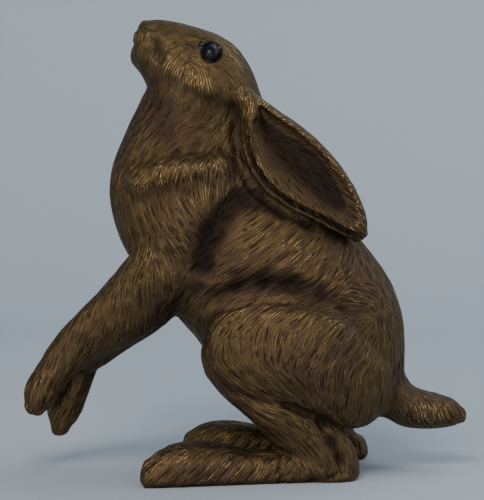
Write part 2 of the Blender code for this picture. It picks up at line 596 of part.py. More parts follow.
def lock_heights(skin):
    """Slots between the locks of fur, each a tapered furrow along the lie of the fur."""
    choice = np.random.default_rng(LOCK_SEED)
    least_likeness = 0.3    # of a point's normal to the slot's, so that no slot runs through a thin ear
    open_coat = ~in_ear(skin.points) & ~near_eye(skin.points)
    furry = np.flatnonzero((skin.points[:, 2] > LOCK_LOWEST) & open_coat)
    picked = spread_out(skin.points, choice.permutation(furry))
    lies = fur_direction(skin.points[picked], skin.normals[picked])
    heights = np.zeros(len(skin.points))
    for seed, lie in zip(picked, lies):
        offset = skin.points - skin.points[seed]
        along = offset @ lie
        across = offset @ np.cross(skin.normals[seed], lie)
        depth = offset @ skin.normals[seed]
        on_seed = (np.abs(depth) < LOCK_THICKNESS) & (skin.normals @ skin.normals[seed] > least_likeness)
        furrow = bell(across, LOCK_HALF_WIDTH) * bell(along, LOCK_LENGTH / 2) * on_seed
        heights = np.minimum(heights, -LOCK_DEPTH * furrow)
    return heights - heights.mean()


def spread_out(points, order):
    """Take points in the given order, leaving out any that is too near one already taken."""
    taken = []
    for index in order:
        if len(taken) == LOCK_COUNT:
            break
        if not taken or np.min(np.linalg.norm(points[taken] - points[index], axis=1)) > LOCK_GAP:
            taken.append(index)
    return np.array(taken)


def in_ear(points):
    """Whether a point is on an ear, seen from the side."""
    rows = np.asarray(EAR)
    middle = np.stack([rows[:, 0] + rows[:, 2], rows[:, 1] + rows[:, 3]], axis=1) / 2
    distance, along = path_distance(points[:, [0, 2]], middle)
    half = np.hypot(rows[:, 0] - rows[:, 2], rows[:, 1] - rows[:, 3]) / 2
    wide = np.interp(along, np.linspace(0, 1, len(half)), half) + EAR_MARGIN
    return (distance < wide) & (np.abs(points[:, 1]) > EAR_NEAREST_Y)


def near_eye(points):
    """Whether a point is on or close round an eye."""
    distance = np.linalg.norm(points[:, [0, 2]] - EYE_MIDDLE, axis=1)
    return (distance < EYE_CLEARING) & (np.abs(points[:, 1]) > EYE_NEAREST_Y)


def bronze_material():
    """Dark bronze finish, rubbed golden on the high places."""
    material = bpy.data.materials.new("bronze_finish")
    material.use_nodes = True
    shader = material.node_tree.nodes["Principled BSDF"]
    shader.inputs["Base Color"].default_value = (0.115, 0.066, 0.027, 1.0)
    shader.inputs["Metallic"].default_value = 0.7
    shader.inputs["Roughness"].default_value = 0.45
    return material


def cut_flat_soles(hare, cutters):
    """Take away all that reaches below the ground, so that both feet stand flat."""
    depth = 20.0 * UNIT
    bpy.ops.mesh.primitive_cube_add(size=1.0, location=(0.0, 0.0, -depth / 2))
    ground = bpy.context.object
    ground.name = "ground_cutter"
    ground.scale = (HEIGHT * 1.5, HEIGHT, depth)
    for holder in ground.users_collection:
        holder.objects.unlink(ground)
    cutters.objects.link(ground)
    ground.hide_render = True
    ground.display_type = 'WIRE'
    cut = hare.modifiers.new("flat_soles", 'BOOLEAN')
    cut.operation = 'DIFFERENCE'
    cut.object = ground


def stand_in_middle(skin):
    """Move the figure so that the origin is under the middle of its box."""
    middle = (skin.points.min(axis=0) + skin.points.max(axis=0)) / 2
    skin.points[:, :2] -= middle[:2]
    skin.write()


def build():
    """Model the hare."""
    for item in list(bpy.data.objects):
        bpy.data.objects.remove(item)
    collection = new_collection("hare_sculpture")
    forms, hollows = body_forms(collection)
    cutters = bpy.data.collections["hare_cutters"]
    hare = fuse(forms, hollows, collection)
    skin = Skin(hare.data)
    skin.relax(0.5, 8)
    skin.push(side_heights(skin))
    skin.relax(0.5, 2)
    skin.push(eye_heights(skin) + toe_heights(skin) + front_heights(skin))
    skin.push(lock_heights(skin))
    stand_in_middle(skin)
    thin = hare.modifiers.new("thinned", 'DECIMATE')
    thin.ratio = SKIN_TRIANGLES / (2 * len(hare.data.polygons))
    cut_flat_soles(hare, cutters)
    hare.data.materials.append(bronze_material())
    hare.data.shade_smooth()
    hare.data.set_sharp_from_angle(angle=math.radians(40))


build()
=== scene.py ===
"""A cold-cast bronze hare sitting up to gaze at the moon: its carved coat, patina, eyes, light and camera.

The casting is one piece. Its limbs are lofted through the same sections as the solid they stand for,
fused into one fine skin, carved with locks and tool strokes that follow the lie of the fur, and finished
with dark wax in the furrows and rubbed gold on the ridges, with highlights and shade painted in as gold
and wax in patches and in the ears. Sections are in 160ths of the hare's height.
"""
import logging
import math
from dataclasses import dataclass, field
from enum import Enum

import bmesh
import bpy
import numpy as np
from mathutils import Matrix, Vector


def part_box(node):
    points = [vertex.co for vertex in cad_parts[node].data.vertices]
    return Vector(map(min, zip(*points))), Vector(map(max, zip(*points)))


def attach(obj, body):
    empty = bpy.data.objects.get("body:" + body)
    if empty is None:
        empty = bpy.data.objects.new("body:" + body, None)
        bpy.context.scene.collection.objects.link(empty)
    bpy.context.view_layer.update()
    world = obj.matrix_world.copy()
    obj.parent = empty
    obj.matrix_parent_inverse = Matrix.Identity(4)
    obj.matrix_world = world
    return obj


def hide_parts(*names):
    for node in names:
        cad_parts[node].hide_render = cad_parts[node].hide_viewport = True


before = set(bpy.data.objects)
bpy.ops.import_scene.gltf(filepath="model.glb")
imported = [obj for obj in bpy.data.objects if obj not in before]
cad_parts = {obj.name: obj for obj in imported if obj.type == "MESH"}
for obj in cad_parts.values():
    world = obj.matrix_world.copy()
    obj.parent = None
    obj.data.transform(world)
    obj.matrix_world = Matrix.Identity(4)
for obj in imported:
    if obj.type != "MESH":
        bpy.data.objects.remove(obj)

LOG = logging.getLogger("hare")
HEIGHT = 0.160            # ground to the top of the nose, in metres
UNIT = HEIGHT / 160.0     # one modelling unit, a 160th of the height
FACING = 1.6              # how fast carving fades where the skin turns away from its side
Rows = tuple[tuple[float, ...], ...]
Layers = tuple[tuple[str, tuple[float, ...]], ...]


class Side(Enum):
    """The two sides of the hare; the value is the sign of Y."""

    LEFT = -1
    RIGHT = 1


def bell(distance: np.ndarray, radius: float) -> np.ndarray:
    """A smooth bump, e to the power of minus the square of distance over radius."""
    return np.exp(-(distance / radius) ** 2)


def unit_rows(vectors: np.ndarray) -> np.ndarray:
    """Scale each row of vectors to length one."""
    return vectors / np.maximum(np.linalg.norm(vectors, axis=1), 1e-9)[:, None]


def path_distance(flat: np.ndarray, path: Rows) -> tuple[np.ndarray, np.ndarray]:
    """Measure flat points against a bent line.

    Args:
        flat: Points as rows of two numbers.
        path: Corners of the line.

    Returns:
        The least distance of each point to the line, and how far along it the nearest place is, 0 to 1.
    """
    corners = np.asarray(path, dtype=float)
    lengths = np.linalg.norm(np.diff(corners, axis=0), axis=1)
    starts = np.concatenate([[0.0], np.cumsum(lengths)])
    nearest = np.full(len(flat), np.inf)
    along = np.zeros(len(flat))
    for start, end, length, begin in zip(corners[:-1], corners[1:], lengths, starts):
        share = np.clip((flat - start) @ (end - start) / length ** 2, 0, 1)
        distance = np.linalg.norm(flat - start - share[:, None] * (end - start), axis=1)
        closer = distance < nearest
        nearest[closer] = distance[closer]
        along[closer] = (begin + share * length)[closer]
    return nearest, along / starts[-1]


@dataclass(frozen=True)
class Loft:
    """A closed form through oval sections that stand across the body.

    Each row is a section: upper x, upper z, lower x, lower z, middle y, half width.
    """

    name: str
    rows: Rows
    sides: int = 32
    bulge: float = 0.7
    squareness: float = 2.2
    egg: float = 0.0
    steps: int = 6

    def smooth_rows(self) -> np.ndarray:
        """Carry a Catmull-Rom curve through the rows, with a few new rows from each to the next."""
        rows = np.asarray(self.rows, dtype=float)
        ends = np.vstack([2 * rows[0] - rows[1], rows, 2 * rows[-1] - rows[-2]])
        t = (np.arange(self.steps) / self.steps)[None, :, None]
        a, b, c, d = (ends[k:len(ends) - 3 + k][:, None, :] for k in range(4))
        curve = 0.5 * (2 * b + (c - a) * t + (2 * a - 5 * b + 4 * c - d) * t ** 2
                       + (3 * b - a - 3 * c + d) * t ** 3)
        return np.vstack([curve.reshape(-1, rows.shape[1]), rows[-1:]])

    def domed(self, centres: np.ndarray, halves: np.ndarray,
              widths: np.ndarray) -> tuple[np.ndarray, np.ndarray, np.ndarray, np.ndarray]:
        """Add shrinking copies of both end sections, so that the form closes in domes.

        Args:
            centres: Middle of each section.
            halves: Vector from the middle to the upper edge.
            widths: Half width of each section.

        Returns:
            The three lists with the domes' sections added, and the two tips.
        """
        angles = np.linspace(0, math.pi / 2, 6)[1:-1]
        made = []
        for end, inner in ((0, 1), (-1, -2)):
            outward = centres[end] - centres[inner]
            outward = outward / np.linalg.norm(outward)
            reach = self.bulge * min(np.linalg.norm(halves[end]), widths[end])
            order = slice(None, None, -1) if end == 0 else slice(None)
            made.append(((centres[end] + outward * (reach * np.sin(angles))[:, None])[order],
                         (halves[end] * np.cos(angles)[:, None])[order],
                         (widths[end] * np.cos(angles))[order], centres[end] + outward * reach))
        first, last = made
        return (np.vstack([first[0], centres, last[0]]), np.vstack([first[1], halves, last[1]]),
                np.concatenate([first[2], widths, last[2]]), np.array([first[3], last[3]]))

    def build(self) -> bpy.types.Object:
        """Make the form.

        A point of a section lies at middle + half height * c + half width * s across, where c and s are
        the cosine and sine of a turn, each raised to 2 over squareness, and egg narrows the upper half.

        Returns:
            The object, in metres, linked to nothing.
        """
        rows = self.smooth_rows()
        upper = rows[:, [0, 4, 1]]
        lower = rows[:, [2, 4, 3]]
        centres, halves, widths, tips = self.domed((upper + lower) / 2, (upper - lower) / 2, rows[:, 5])
        turn = np.arange(self.sides) * 2 * math.pi / self.sides
        power = 2 / self.squareness
        up = np.sign(np.cos(turn)) * np.abs(np.cos(turn)) ** power
        across = np.sign(np.sin(turn)) * np.abs(np.sin(turn)) ** power * (1 - self.egg * np.cos(turn))
        rings = centres[:, None, :] + halves[:, None, :] * up[None, :, None]
        rings[:, :, 1] += widths[:, None] * across[None, :]
        points = np.vstack([rings.reshape(-1, 3), tips]) * UNIT
        index = np.arange(len(rings) * self.sides).reshape(len(rings), self.sides)
        beside = np.roll(index, -1, axis=1)
        quads = np.stack([index[:-1], beside[:-1], beside[1:], index[1:]], axis=2).reshape(-1, 4)
        tip = index.size
        first = np.stack([np.full(self.sides, tip), beside[0], index[0]], axis=1)
        last = np.stack([np.full(self.sides, tip + 1), index[-1], beside[-1]], axis=1)
        mesh = bpy.data.meshes.new(self.name)
        mesh.from_pydata(points.tolist(), [], quads.tolist() + first.tolist() + last.tolist())
        shape = bmesh.new()
        shape.from_mesh(mesh)
        bmesh.ops.recalc_face_normals(shape, faces=shape.faces)
        shape.to_mesh(mesh)
        shape.free()
        return bpy.data.objects.new(self.name, mesh)

    def mirrored(self, name: str, along: float = 0.0) -> "Loft":
        """The same form on the other side of the body, moved along it."""
        rows = tuple((r[0] + along, r[1], r[2] + along, r[3], -r[4], r[5]) for r in self.rows)
        return Loft(name, rows, self.sides, self.bulge, self.squareness, self.egg, self.steps)


@dataclass
class Coat:
    """The points of the casting's skin as arrays, in modelling units, while it is carved."""

    mesh: bpy.types.Mesh
    points: np.ndarray = field(init=False)
    normals: np.ndarray = field(init=False)
    edges: np.ndarray = field(init=False)
    links: np.ndarray = field(init=False)
    push_back: float = 1.03
    least_share: float = 0.02
    pull_share: float = 0.5

    def __post_init__(self) -> None:
        """Read the mesh."""
        count = len(self.mesh.vertices)
        flat = np.empty(count * 3)
        self.mesh.vertices.foreach_get("co", flat)
        self.points = flat.reshape(-1, 3) / UNIT
        ends = np.empty(len(self.mesh.edges) * 2, dtype=np.int32)
        self.mesh.edges.foreach_get("vertices", ends)
        self.edges = ends.reshape(-1, 2).T.astype(np.int64)
        self.links = np.bincount(ends, minlength=count).astype(float)
        self.write()

    def write(self) -> None:
        """Put the points back in the mesh and read its new normals."""
        self.mesh.vertices.foreach_set("co", (self.points * UNIT).ravel())
        self.mesh.update()
        flat = np.empty(len(self.points) * 3)
        self.mesh.vertices.foreach_get("normal", flat)
        self.normals = flat.reshape(-1, 3)

    def neighbour_mean(self, values: np.ndarray) -> np.ndarray:
        """Mean of the values at each point's neighbours."""
        first, second = self.edges
        count = len(self.points)
        columns = values.reshape(count, -1).T
        total = [np.bincount(first, column[second], count) + np.bincount(second, column[first], count)
                 for column in columns]
        return (np.stack(total, axis=1) / self.links[:, None]).reshape(values.shape)

    def relax(self, strength: float, passes: int) -> None:
        """Draw each point towards its neighbours, then push it back, which softens without shrinking.

        Args:
            strength: Share of the way to the neighbours' mean.
            passes: How many times.
        """
        for _ in range(passes):
            for share in (strength, -self.push_back * strength):
                self.points += share * (self.neighbour_mean(self.points) - self.points)
        self.write()

    def soften(self, share: np.ndarray, passes: int) -> None:
        """Draw points to their neighbours' mean by their own share, which fills creases between limbs."""
        chosen = np.flatnonzero(share > self.least_share)
        for _ in range(passes):
            pull = self.neighbour_mean(self.points) - self.points
            self.points[chosen] += self.pull_share * share[chosen, None] * pull[chosen]
        self.write()

    def push(self, heights: np.ndarray) -> None:
        """Move each point along its normal by its height."""
        self.points += self.normals * heights[:, None]
        self.write()

    def hollowness(self, passes: int) -> np.ndarray:
        """How far each point lies below the skin smoothed over a few millimetres; above it is negative.

        Args:
            passes: How many times each point is drawn to its neighbours' mean.

        Returns:
            Depth of each point, in modelling units.
        """
        soft = self.points
        for _ in range(passes):
            soft = self.neighbour_mean(soft)
        return ((soft - self.points) * self.normals).sum(axis=1)

    def note(self, name: str, values: np.ndarray) -> None:
        """Store numbers or vectors on the mesh's points for the finish to read."""
        kind, part = ("FLOAT", "value") if values.ndim == 1 else ("FLOAT_VECTOR", "vector")
        layer = self.mesh.attributes.new(name, kind, "POINT")
        layer.data.foreach_set(part, np.ascontiguousarray(values, dtype=np.float32).ravel())


@dataclass
class PointGrid:
    """Points sorted into cubic cells, so that those near many places are found at once."""

    points: np.ndarray
    cell: float
    low: np.ndarray = field(init=False)
    shape: np.ndarray = field(init=False)
    order: np.ndarray = field(init=False)
    keys: np.ndarray = field(init=False)

    def __post_init__(self) -> None:
        """Sort the points by cell."""
        self.low = self.points.min(axis=0) - 3 * self.cell
        self.shape = np.ceil((self.points.max(axis=0) - self.low) / self.cell).astype(np.int64) + 4
        keys = self.key(np.floor((self.points - self.low) / self.cell).astype(np.int64))
        self.order = np.argsort(keys, kind="stable")
        self.keys = keys[self.order]

    def key(self, cells: np.ndarray) -> np.ndarray:
        """One number for each cell, its place counted row by row."""
        inside = np.clip(cells, 0, self.shape - 1)
        return (inside[:, 0] * self.shape[1] + inside[:, 1]) * self.shape[2] + inside[:, 2]

    def pairs(self, places: np.ndarray) -> tuple[np.ndarray, np.ndarray]:
        """Find the points in the eight cells round each place, which hold all within half a cell.

        Args:
            places: Where to look, as rows of x, y, z.

        Returns:
            For every pair found, the number of the place and the number of the point.
        """
        corner = np.floor((places - self.low) / self.cell - 0.5).astype(np.int64)
        whose, which = [], []
        for step in np.ndindex(2, 2, 2):
            keys = self.key(corner + step)
            start = np.searchsorted(self.keys, keys, "left")
            count = np.searchsorted(self.keys, keys, "right") - start
            within = np.arange(count.sum()) - np.repeat(np.cumsum(count) - count, count)
            whose.append(np.repeat(np.arange(len(places)), count))
            which.append(self.order[np.repeat(start, count) + within])
        return np.concatenate(whose), np.concatenate(which)

    def nearest(self, places: np.ndarray) -> np.ndarray:
        """Number of the point nearest each place, or -1 where none is near."""
        whose, which = self.pairs(places)
        gap = ((self.points[which] - places[whose]) ** 2).sum(axis=1)
        least = np.full(len(places), np.inf)
        np.minimum.at(least, whose, gap)
        best = np.full(len(places), -1)
        hit = gap == least[whose]
        best[whose[hit]] = which[hit]
        return best


@dataclass
class Body:
    """The hare's limbs as lofts, fused into one skin.

    The sizes of an ear's hollow are, from the root to the tip, the lip left below it and its depth. Each
    scoop of a hollow has its breadth from the rim and its share of that depth.
    """

    skin_step: float
    stance: float = 0.047 / UNIT
    foot_splay: float = 0.145
    right_foot_back: float = 5.5
    right_shank_back: float = 1.5
    right_foot_shares: tuple[float, float] = (0.90, 0.84)
    ear_rim: float = 1.7
    ear_root_row: int = 1
    ear_hollow_sizes: Rows = ((6.4, 2.6), (4, 4.6), (3.7, 5), (3.9, 4.8), (4, 4), (3.6, 2.6), (3.2, 1))
    ear_scoops: tuple[tuple[str, float, float], ...] = (("ear_scoop", 1.0, 0.55), ("ear_hollow", 0.62, 1.0))
    trunk: Rows = (
        (56.6, 31.5, 38, 17, 0, 15), (56.8, 41, 9, 21, 0, 25), (56.2, 54, -8.5, 35, 0, 27.5),
        (51.6, 67.4, -17.6, 47, 0, 27.5), (42.8, 79.8, -25, 55.5, 0, 26.5), (31, 93, -34.5, 68, 0, 25.5),
        (18.5, 105, -43.8, 80.8, 0, 24.5), (9.5, 115, -48, 94.6, 0, 22), (6, 124, -47.6, 107.2, 0, 19.5),
        (5, 132, -42.8, 120, 0, 17.5), (2.5, 138.5, -36.4, 133.5, 0, 15.5))
    head: Rows = (
        (-34.6, 159.6, -39.4, 151, 0, 6), (-31, 160, -39.9, 145.3, 0, 8.8),
        (-24.7, 159.2, -37, 140.5, 0, 10.8), (-17, 157.2, -34.2, 136, 0, 12.8),
        (-9.2, 154.4, -27.6, 131.4, 0, 15.3), (-2.5, 149.6, -18.5, 127.9, 0, 16.8),
        (2.2, 142.2, -8.6, 126.8, 0, 16), (4.8, 135.2, -1.1, 128.2, 0, 13), (7.4, 127, 2, 119, 0, 11),
        (11.4, 116.2, 6, 109, 0, 9.5), (19, 105, 14, 98.5, 0, 7))
    left_foreleg: Rows = (
        (-19.6, 95.5, -8.5, 75.5, -12, 10.5), (-34, 85.2, -16.2, 65.4, -12.2, 11),
        (-43.2, 75, -26.1, 57.6, -10.6, 10.2), (-51.7, 65, -35.2, 48.6, -8.8, 8.8),
        (-60.5, 56, -46.2, 43.2, -7.2, 7.4), (-67.5, 48.3, -55.2, 38.4, -6.2, 6.6),
        (-75.8, 35.5, -64, 30.4, -6, 6.6), (-78.8, 29.6, -66.6, 25.6, -6.2, 6.6),
        (-79, 24.6, -70, 22, -6.2, 5.8))
    right_foreleg: Rows = (
        (-16.6, 91.5, -8.5, 75, 12, 10.5), (-31, 81, -16.2, 65.2, 11.8, 11),
        (-41, 71, -26.1, 57.2, 10.4, 10.2), (-48.5, 60, -34.2, 47.9, 8.8, 8.8),
        (-56.5, 50.5, -44.6, 41.9, 7.2, 7.4), (-62.4, 42.5, -52.4, 36.4, 6.2, 6.6),
        (-69.6, 29.5, -57.2, 24.6, 6, 6.6), (-72.4, 20, -60, 17.4, 6.2, 6.6),
        (-71, 13.4, -63.4, 12.8, 6.2, 5.8))
    foreleg_web: Rows = (
        (-30, 70, -24, 56, 0, 9.6), (-38, 64, -31.5, 49.4, 0, 9.2), (-47, 57, -42, 42.8, 0, 8.2),
        (-56, 49, -50.5, 37, 0, 6.8), (-60, 44, -54.5, 34.5, 0, 5.2))
    thigh: Rows = (
        (-13.6, 49, -12.8, 37.6, -18, 8.4), (-12, 58.2, -8.3, 30, -18.6, 11.2),
        (-4.4, 63.2, 4.5, 22.5, -19.5, 12.6), (9.5, 65, 18.7, 21.5, -20, 13.4),
        (25.4, 62.6, 30.9, 18.3, -20, 13.4), (38.4, 56, 41.4, 17.8, -17, 11.8),
        (48.2, 46, 48.8, 22.5, -12.5, 9.5))
    tail: Rows = (
        (50, 38, 43, 20.5, 0, 14.5), (56.3, 34.6, 49.5, 18.3, 0, 13), (59.6, 30, 55.5, 15.2, 0, 11),
        (63.2, 28.3, 60.5, 14.3, 0, 9.4), (68, 27, 66, 14.1, 0, 8.2), (74.2, 25, 73.2, 14.8, 0, 6),
        (78, 21.6, 77.6, 16, 0, 3.5))
    ear: Rows = (
        (2.2, 135.5, -2.6, 130.5, -12.5, 3.6), (6.8, 131.4, -2, 124, -14.6, 4.4),
        (12.6, 127.2, -1.4, 116.8, -16.6, 4.8), (19.2, 122.7, 1.2, 108.4, -18.2, 5),
        (26.8, 116.4, 5.8, 101.6, -19.2, 4.8), (33.8, 108.2, 14.1, 95.4, -19, 4.5),
        (38.7, 100, 24.2, 90.6, -17.8, 4.1), (41.7, 92, 31.8, 86.4, -16, 3.6),
        (42.3, 86.5, 37.2, 83.4, -14.8, 2.8))

    def foot_y(self) -> float:
        """Distance of the middle of a hind foot from the middle of the body."""
        return self.stance / 2

    def shank(self, name: str) -> Loft:
        """Left lower hind leg, from inside the knee back and down to the heel."""
        y = self.foot_y()
        return Loft(name, ((-7.0, 48.0, -14.3, 36.4, -19.0, 7.5), (5.5, 37.0, -7.6, 29.0, -20.0, 8.8),
                           (20.5, 27.8, 1.3, 21.4, -0.92 * y, 9.0), (33.5, 18.0, 7.6, 14.3, -0.88 * y, 8.6),
                           (39.0, 8.5, 11.8, 8.0, -0.86 * y, 7.8), (39.6, 0.5, 13.6, 0.5, -0.86 * y, 7.8)),
                    bulge=0.45, squareness=2.5)

    def foot(self, name: str, length: float, rise: float) -> Loft:
        """Left hind foot, from the heel forward to the toes, reaching below the ground.

        Args:
            name: Name of the form.
            length: Share of the left foot's length.
            rise: Share of its height.

        Returns:
            The form.
        """
        heel, below_ground = 37.0, -3.5
        middles = ((0.0, 9.8, 7.0), (11.0, 10.6, 8.2), (25.0, 10.8, 8.0), (36.0, 11.2, 8.2),
                   (46.0, 13.6, 8.8), (56.0, 14.4, 9.4), (64.5, 12.8, 9.4), (71.2, 8.6, 8.4))
        rows = []
        for back, top, half in middles:
            x = heel - back * length
            rows.append((x, top * rise, x, below_ground, -(self.foot_y() - self.foot_splay * x), half))
        return Loft(name, tuple(rows), bulge=0.45, squareness=2.5)

    def ear_hollow(self, name: str, breadth: float, share: float) -> Loft:
        """The space inside the left ear: the ear's sections, drawn in by its rim and lip and moved outwards.

        Args:
            name: Name of the form.
            breadth: How much of the way from the rim to the lip it takes, measured from the rim.
            share: Share of the full depth.

        Returns:
            The form to cut away.
        """
        rows = []
        sections = self.ear[self.ear_root_row:]
        for (ux, uz, lx, lz, y, half), (lip, depth) in zip(sections, self.ear_hollow_sizes):
            width = math.hypot(ux - lx, uz - lz)
            above = self.ear_rim / width
            below = 1 - above - (1 - above - lip / width) * breadth
            rows.append((ux + (lx - ux) * above, uz + (lz - uz) * above, lx + (ux - lx) * below,
                         lz + (uz - lz) * below, y - half, depth * share))
        return Loft(name, tuple(rows), bulge=0.6, squareness=2.3)

    def fused(self) -> bpy.types.Object:
        """Join every limb and draw one even skin round all of them.

        Returns:
            The casting, before it is carved.
        """
        thigh = Loft("thigh_left", self.thigh, bulge=0.5)
        ear = Loft("ear_left", self.ear, bulge=0.6, squareness=2.6)
        scoops = [self.ear_hollow(*scoop) for scoop in self.ear_scoops]
        spaces = [space for scoop in scoops for space in (scoop, scoop.mirrored(scoop.name + "_right"))]
        lofts = [Loft("trunk", self.trunk, sides=40, bulge=0.45, squareness=2.3, egg=0.10),
                 Loft("head", self.head, sides=36, bulge=0.35, squareness=2.15, egg=0.16),
                 ear, ear.mirrored("ear_right"),
                 Loft("foreleg_left", self.left_foreleg, bulge=0.8),
                 Loft("foreleg_right", self.right_foreleg, bulge=0.8),
                 Loft("foreleg_web", self.foreleg_web, bulge=0.6),
                 thigh, thigh.mirrored("thigh_right"), Loft("tail", self.tail, bulge=0.5),
                 self.shank("shank_left"), self.shank("shank").mirrored("shank_right", self.right_shank_back),
                 self.foot("foot_left", 1.0, 1.0),
                 self.foot("foot", *self.right_foot_shares).mirrored("foot_right", self.right_foot_back)]
        forms = [loft.build() for loft in lofts]
        hollows = [space.build() for space in spaces]
        scene = bpy.context.scene.collection
        for form in forms + hollows:
            scene.objects.link(form)
        trunk_head_and_ears = forms[:4]
        for form in trunk_head_and_ears:
            for space in hollows:
                cut = form.modifiers.new("ear_hollow", "BOOLEAN")
                cut.operation = "DIFFERENCE"
                cut.object = space
        depsgraph = bpy.context.evaluated_depsgraph_get()
        joined = bmesh.new()
        for form in forms:
            mesh = bpy.data.meshes.new_from_object(form.evaluated_get(depsgraph))
            joined.from_mesh(mesh)
            bpy.data.meshes.remove(mesh)
        mesh = bpy.data.meshes.new("hare_casting")
        joined.to_mesh(mesh)
        joined.free()
        casting = bpy.data.objects.new("hare_casting", mesh)
        scene.objects.link(casting)
        skin = casting.modifiers.new("skin", "REMESH")
        skin.mode = "VOXEL"
        skin.voxel_size = self.skin_step
        apply_modifiers(casting)
        for item in forms + hollows:
            bpy.data.objects.remove(item)
        return casting


def apply_modifiers(item: bpy.types.Object) -> None:
    """Make the object's mesh what its modifiers show, and take them off."""
    depsgraph = bpy.context.evaluated_depsgraph_get()
    mesh = bpy.data.meshes.new_from_object(item.evaluated_get(depsgraph))
    old = item.data
    item.modifiers.clear()
    item.data = mesh
    bpy.data.meshes.remove(old)
    mesh.name = item.name


@dataclass(frozen=True)
class Line:
    """A ridge or crease drawn on the skin: its path, half width and height, which is below 0 for a crease."""

    path: Rows
    half_width: float
    height: float
    fade: float = 8.0
    end_share: float = 0.25

    def heights(self, flat: np.ndarray) -> np.ndarray:
        """Height at each flat point, a bell across the path that fades at both ends."""
        distance, along = path_distance(flat, self.path)
        fade = np.clip(np.minimum(along, 1 - along) * self.fade + self.end_share, 0, 1)
        return self.height * fade * bell(distance, self.half_width)


@dataclass(frozen=True)
class Joins:
    """Where limbs run into each other without a crease: paths seen from the side, each with its reach."""

    paths: tuple[tuple[Rows, float], ...] = (
        (((-37, 137.5), (-28, 137), (-20.8, 136), (-15, 133), (-8, 131.5), (-3, 131.5)), 4.5),
        (((44, 19), (49.5, 16.5), (52.5, 24), (54.5, 33), (57.5, 39)), 4),
        (((-27, 55.5), (-37.5, 48.5), (-46.5, 43.8), (-54.5, 40), (-58, 37.5)), 3.6),
        (((-59.5, 37), (-64, 30), (-67.5, 24), (-71, 17)), 2.4),
        (((-14.5, 40), (-12.5, 35.5)), 3.5),
        (((40.5, 10.5), (43.5, 7)), 2.6))

    def share(self, points: np.ndarray) -> np.ndarray:
        """How much each point is softened, 0 to 1."""
        flat = points[:, [0, 2]]
        return np.max([bell(path_distance(flat, path)[0], reach) for path, reach in self.paths], axis=0)


@dataclass(frozen=True)
class Forms:
    """Muscles, creases and folds drawn from the side: bumps are x, z, radius, height."""

    bumps: Rows = (
        (-15.5, 138.5, 9, 1.5), (-12, 152.6, 4.2, 0.9), (-35.2, 151, 4.2, 0.9), (-37.5, 147, 3.2, 0.8),
        (-34.5, 158, 1.8, 0.6), (-30.8, 149.5, 3, -0.6), (-30, 100, 14, 1.5), (-20, 90, 9, 1.2),
        (26, 84, 17, 1), (10, 46, 15, 1.6), (29, 8, 6, 1))
    lines: tuple[Line, ...] = (
        Line(((-41, 101.5), (-37, 104), (-28, 107), (-19.6, 108.3), (-4, 110)), 4.4, 2.8),
        Line(((-38, 97.5), (-28, 99.5), (-18, 100.5)), 3, -0.6),
        Line(((-40, 110.5), (-28, 114), (-16, 115.5), (-5, 116)), 2.8, -0.9),
        Line(((-36, 133.5), (-29, 129.5), (-19, 126), (-8, 125), (-2, 126)), 3.6, -1.2),
        Line(((-29.5, 147), (-25, 143.2), (-20, 139.6), (-15, 136.4), (-9, 134)), 3.2, 1.1),
        Line(((-38.5, 154.3), (-35, 154.6), (-31.4, 153.6)), 1.4, 1.2),
        Line(((-36.4, 156.9), (-34, 156.9), (-31.5, 155.6)), 0.9, -0.4),
        Line(((-31.2, 153.4), (-30.4, 150.8), (-30.2, 147.4), (-29.8, 144.5)), 1.4, -0.7),
        Line(((-0.8, 133.8), (2, 130), (3.4, 125)), 2, 1.1),
        Line(((-17.5, 150.9), (-21, 152.4)), 1.5, -0.7),
        Line(((-3.6, 127), (-3.8, 118), (-2.6, 109.5), (2.4, 100.6), (12, 93.4),
             (24, 88)), 1.3, -0.7),
        Line(((1.8, 100), (-6.5, 94.5), (-10.9, 88), (-14.2, 78.5), (-16.2, 70)), 4.8, -2.8),
        Line(((-15, 61.5), (-6, 66.2), (6, 68.6), (16, 68.6), (28, 64.8),
             (39, 59.5)), 3.3, -2.2),
        Line(((-12, 53.5), (-4, 58.8), (10, 60.8), (24.5, 58.4), (37, 52.6)), 2.6, 0.6),
        Line(((-43, 78), (-36, 80.5), (-26, 81.5)), 2.6, 1),
        Line(((12, 28.5), (18, 26), (24, 23.5)), 1.4, -0.8),
        Line(((25.2, 23.8), (27.3, 19.5), (29, 14.8), (31.1, 10.2), (33.6, 4.5)), 2.2, -1.9),
        Line(((33.6, 4.5), (30.1, 2.1), (25.1, 0.7), (20, 0)), 1.1, -0.9),
        Line(((-72, 20.4), (-68.8, 24.6), (-65.9, 27.8), (-62.3, 35)), 1, -0.7))

    def heights(self, coat: Coat) -> np.ndarray:
        """Height of every bump and line, fading where the skin turns away from the side."""
        flat = coat.points[:, [0, 2]]
        total = np.zeros(len(flat))
        for x, z, radius, height in self.bumps:
            total += height * bell(np.linalg.norm(flat - (x, z), axis=1), radius)
        for line in self.lines:
            total += line.heights(flat)
        return total * np.clip(np.abs(coat.normals[:, 1]) * FACING, 0, 1)


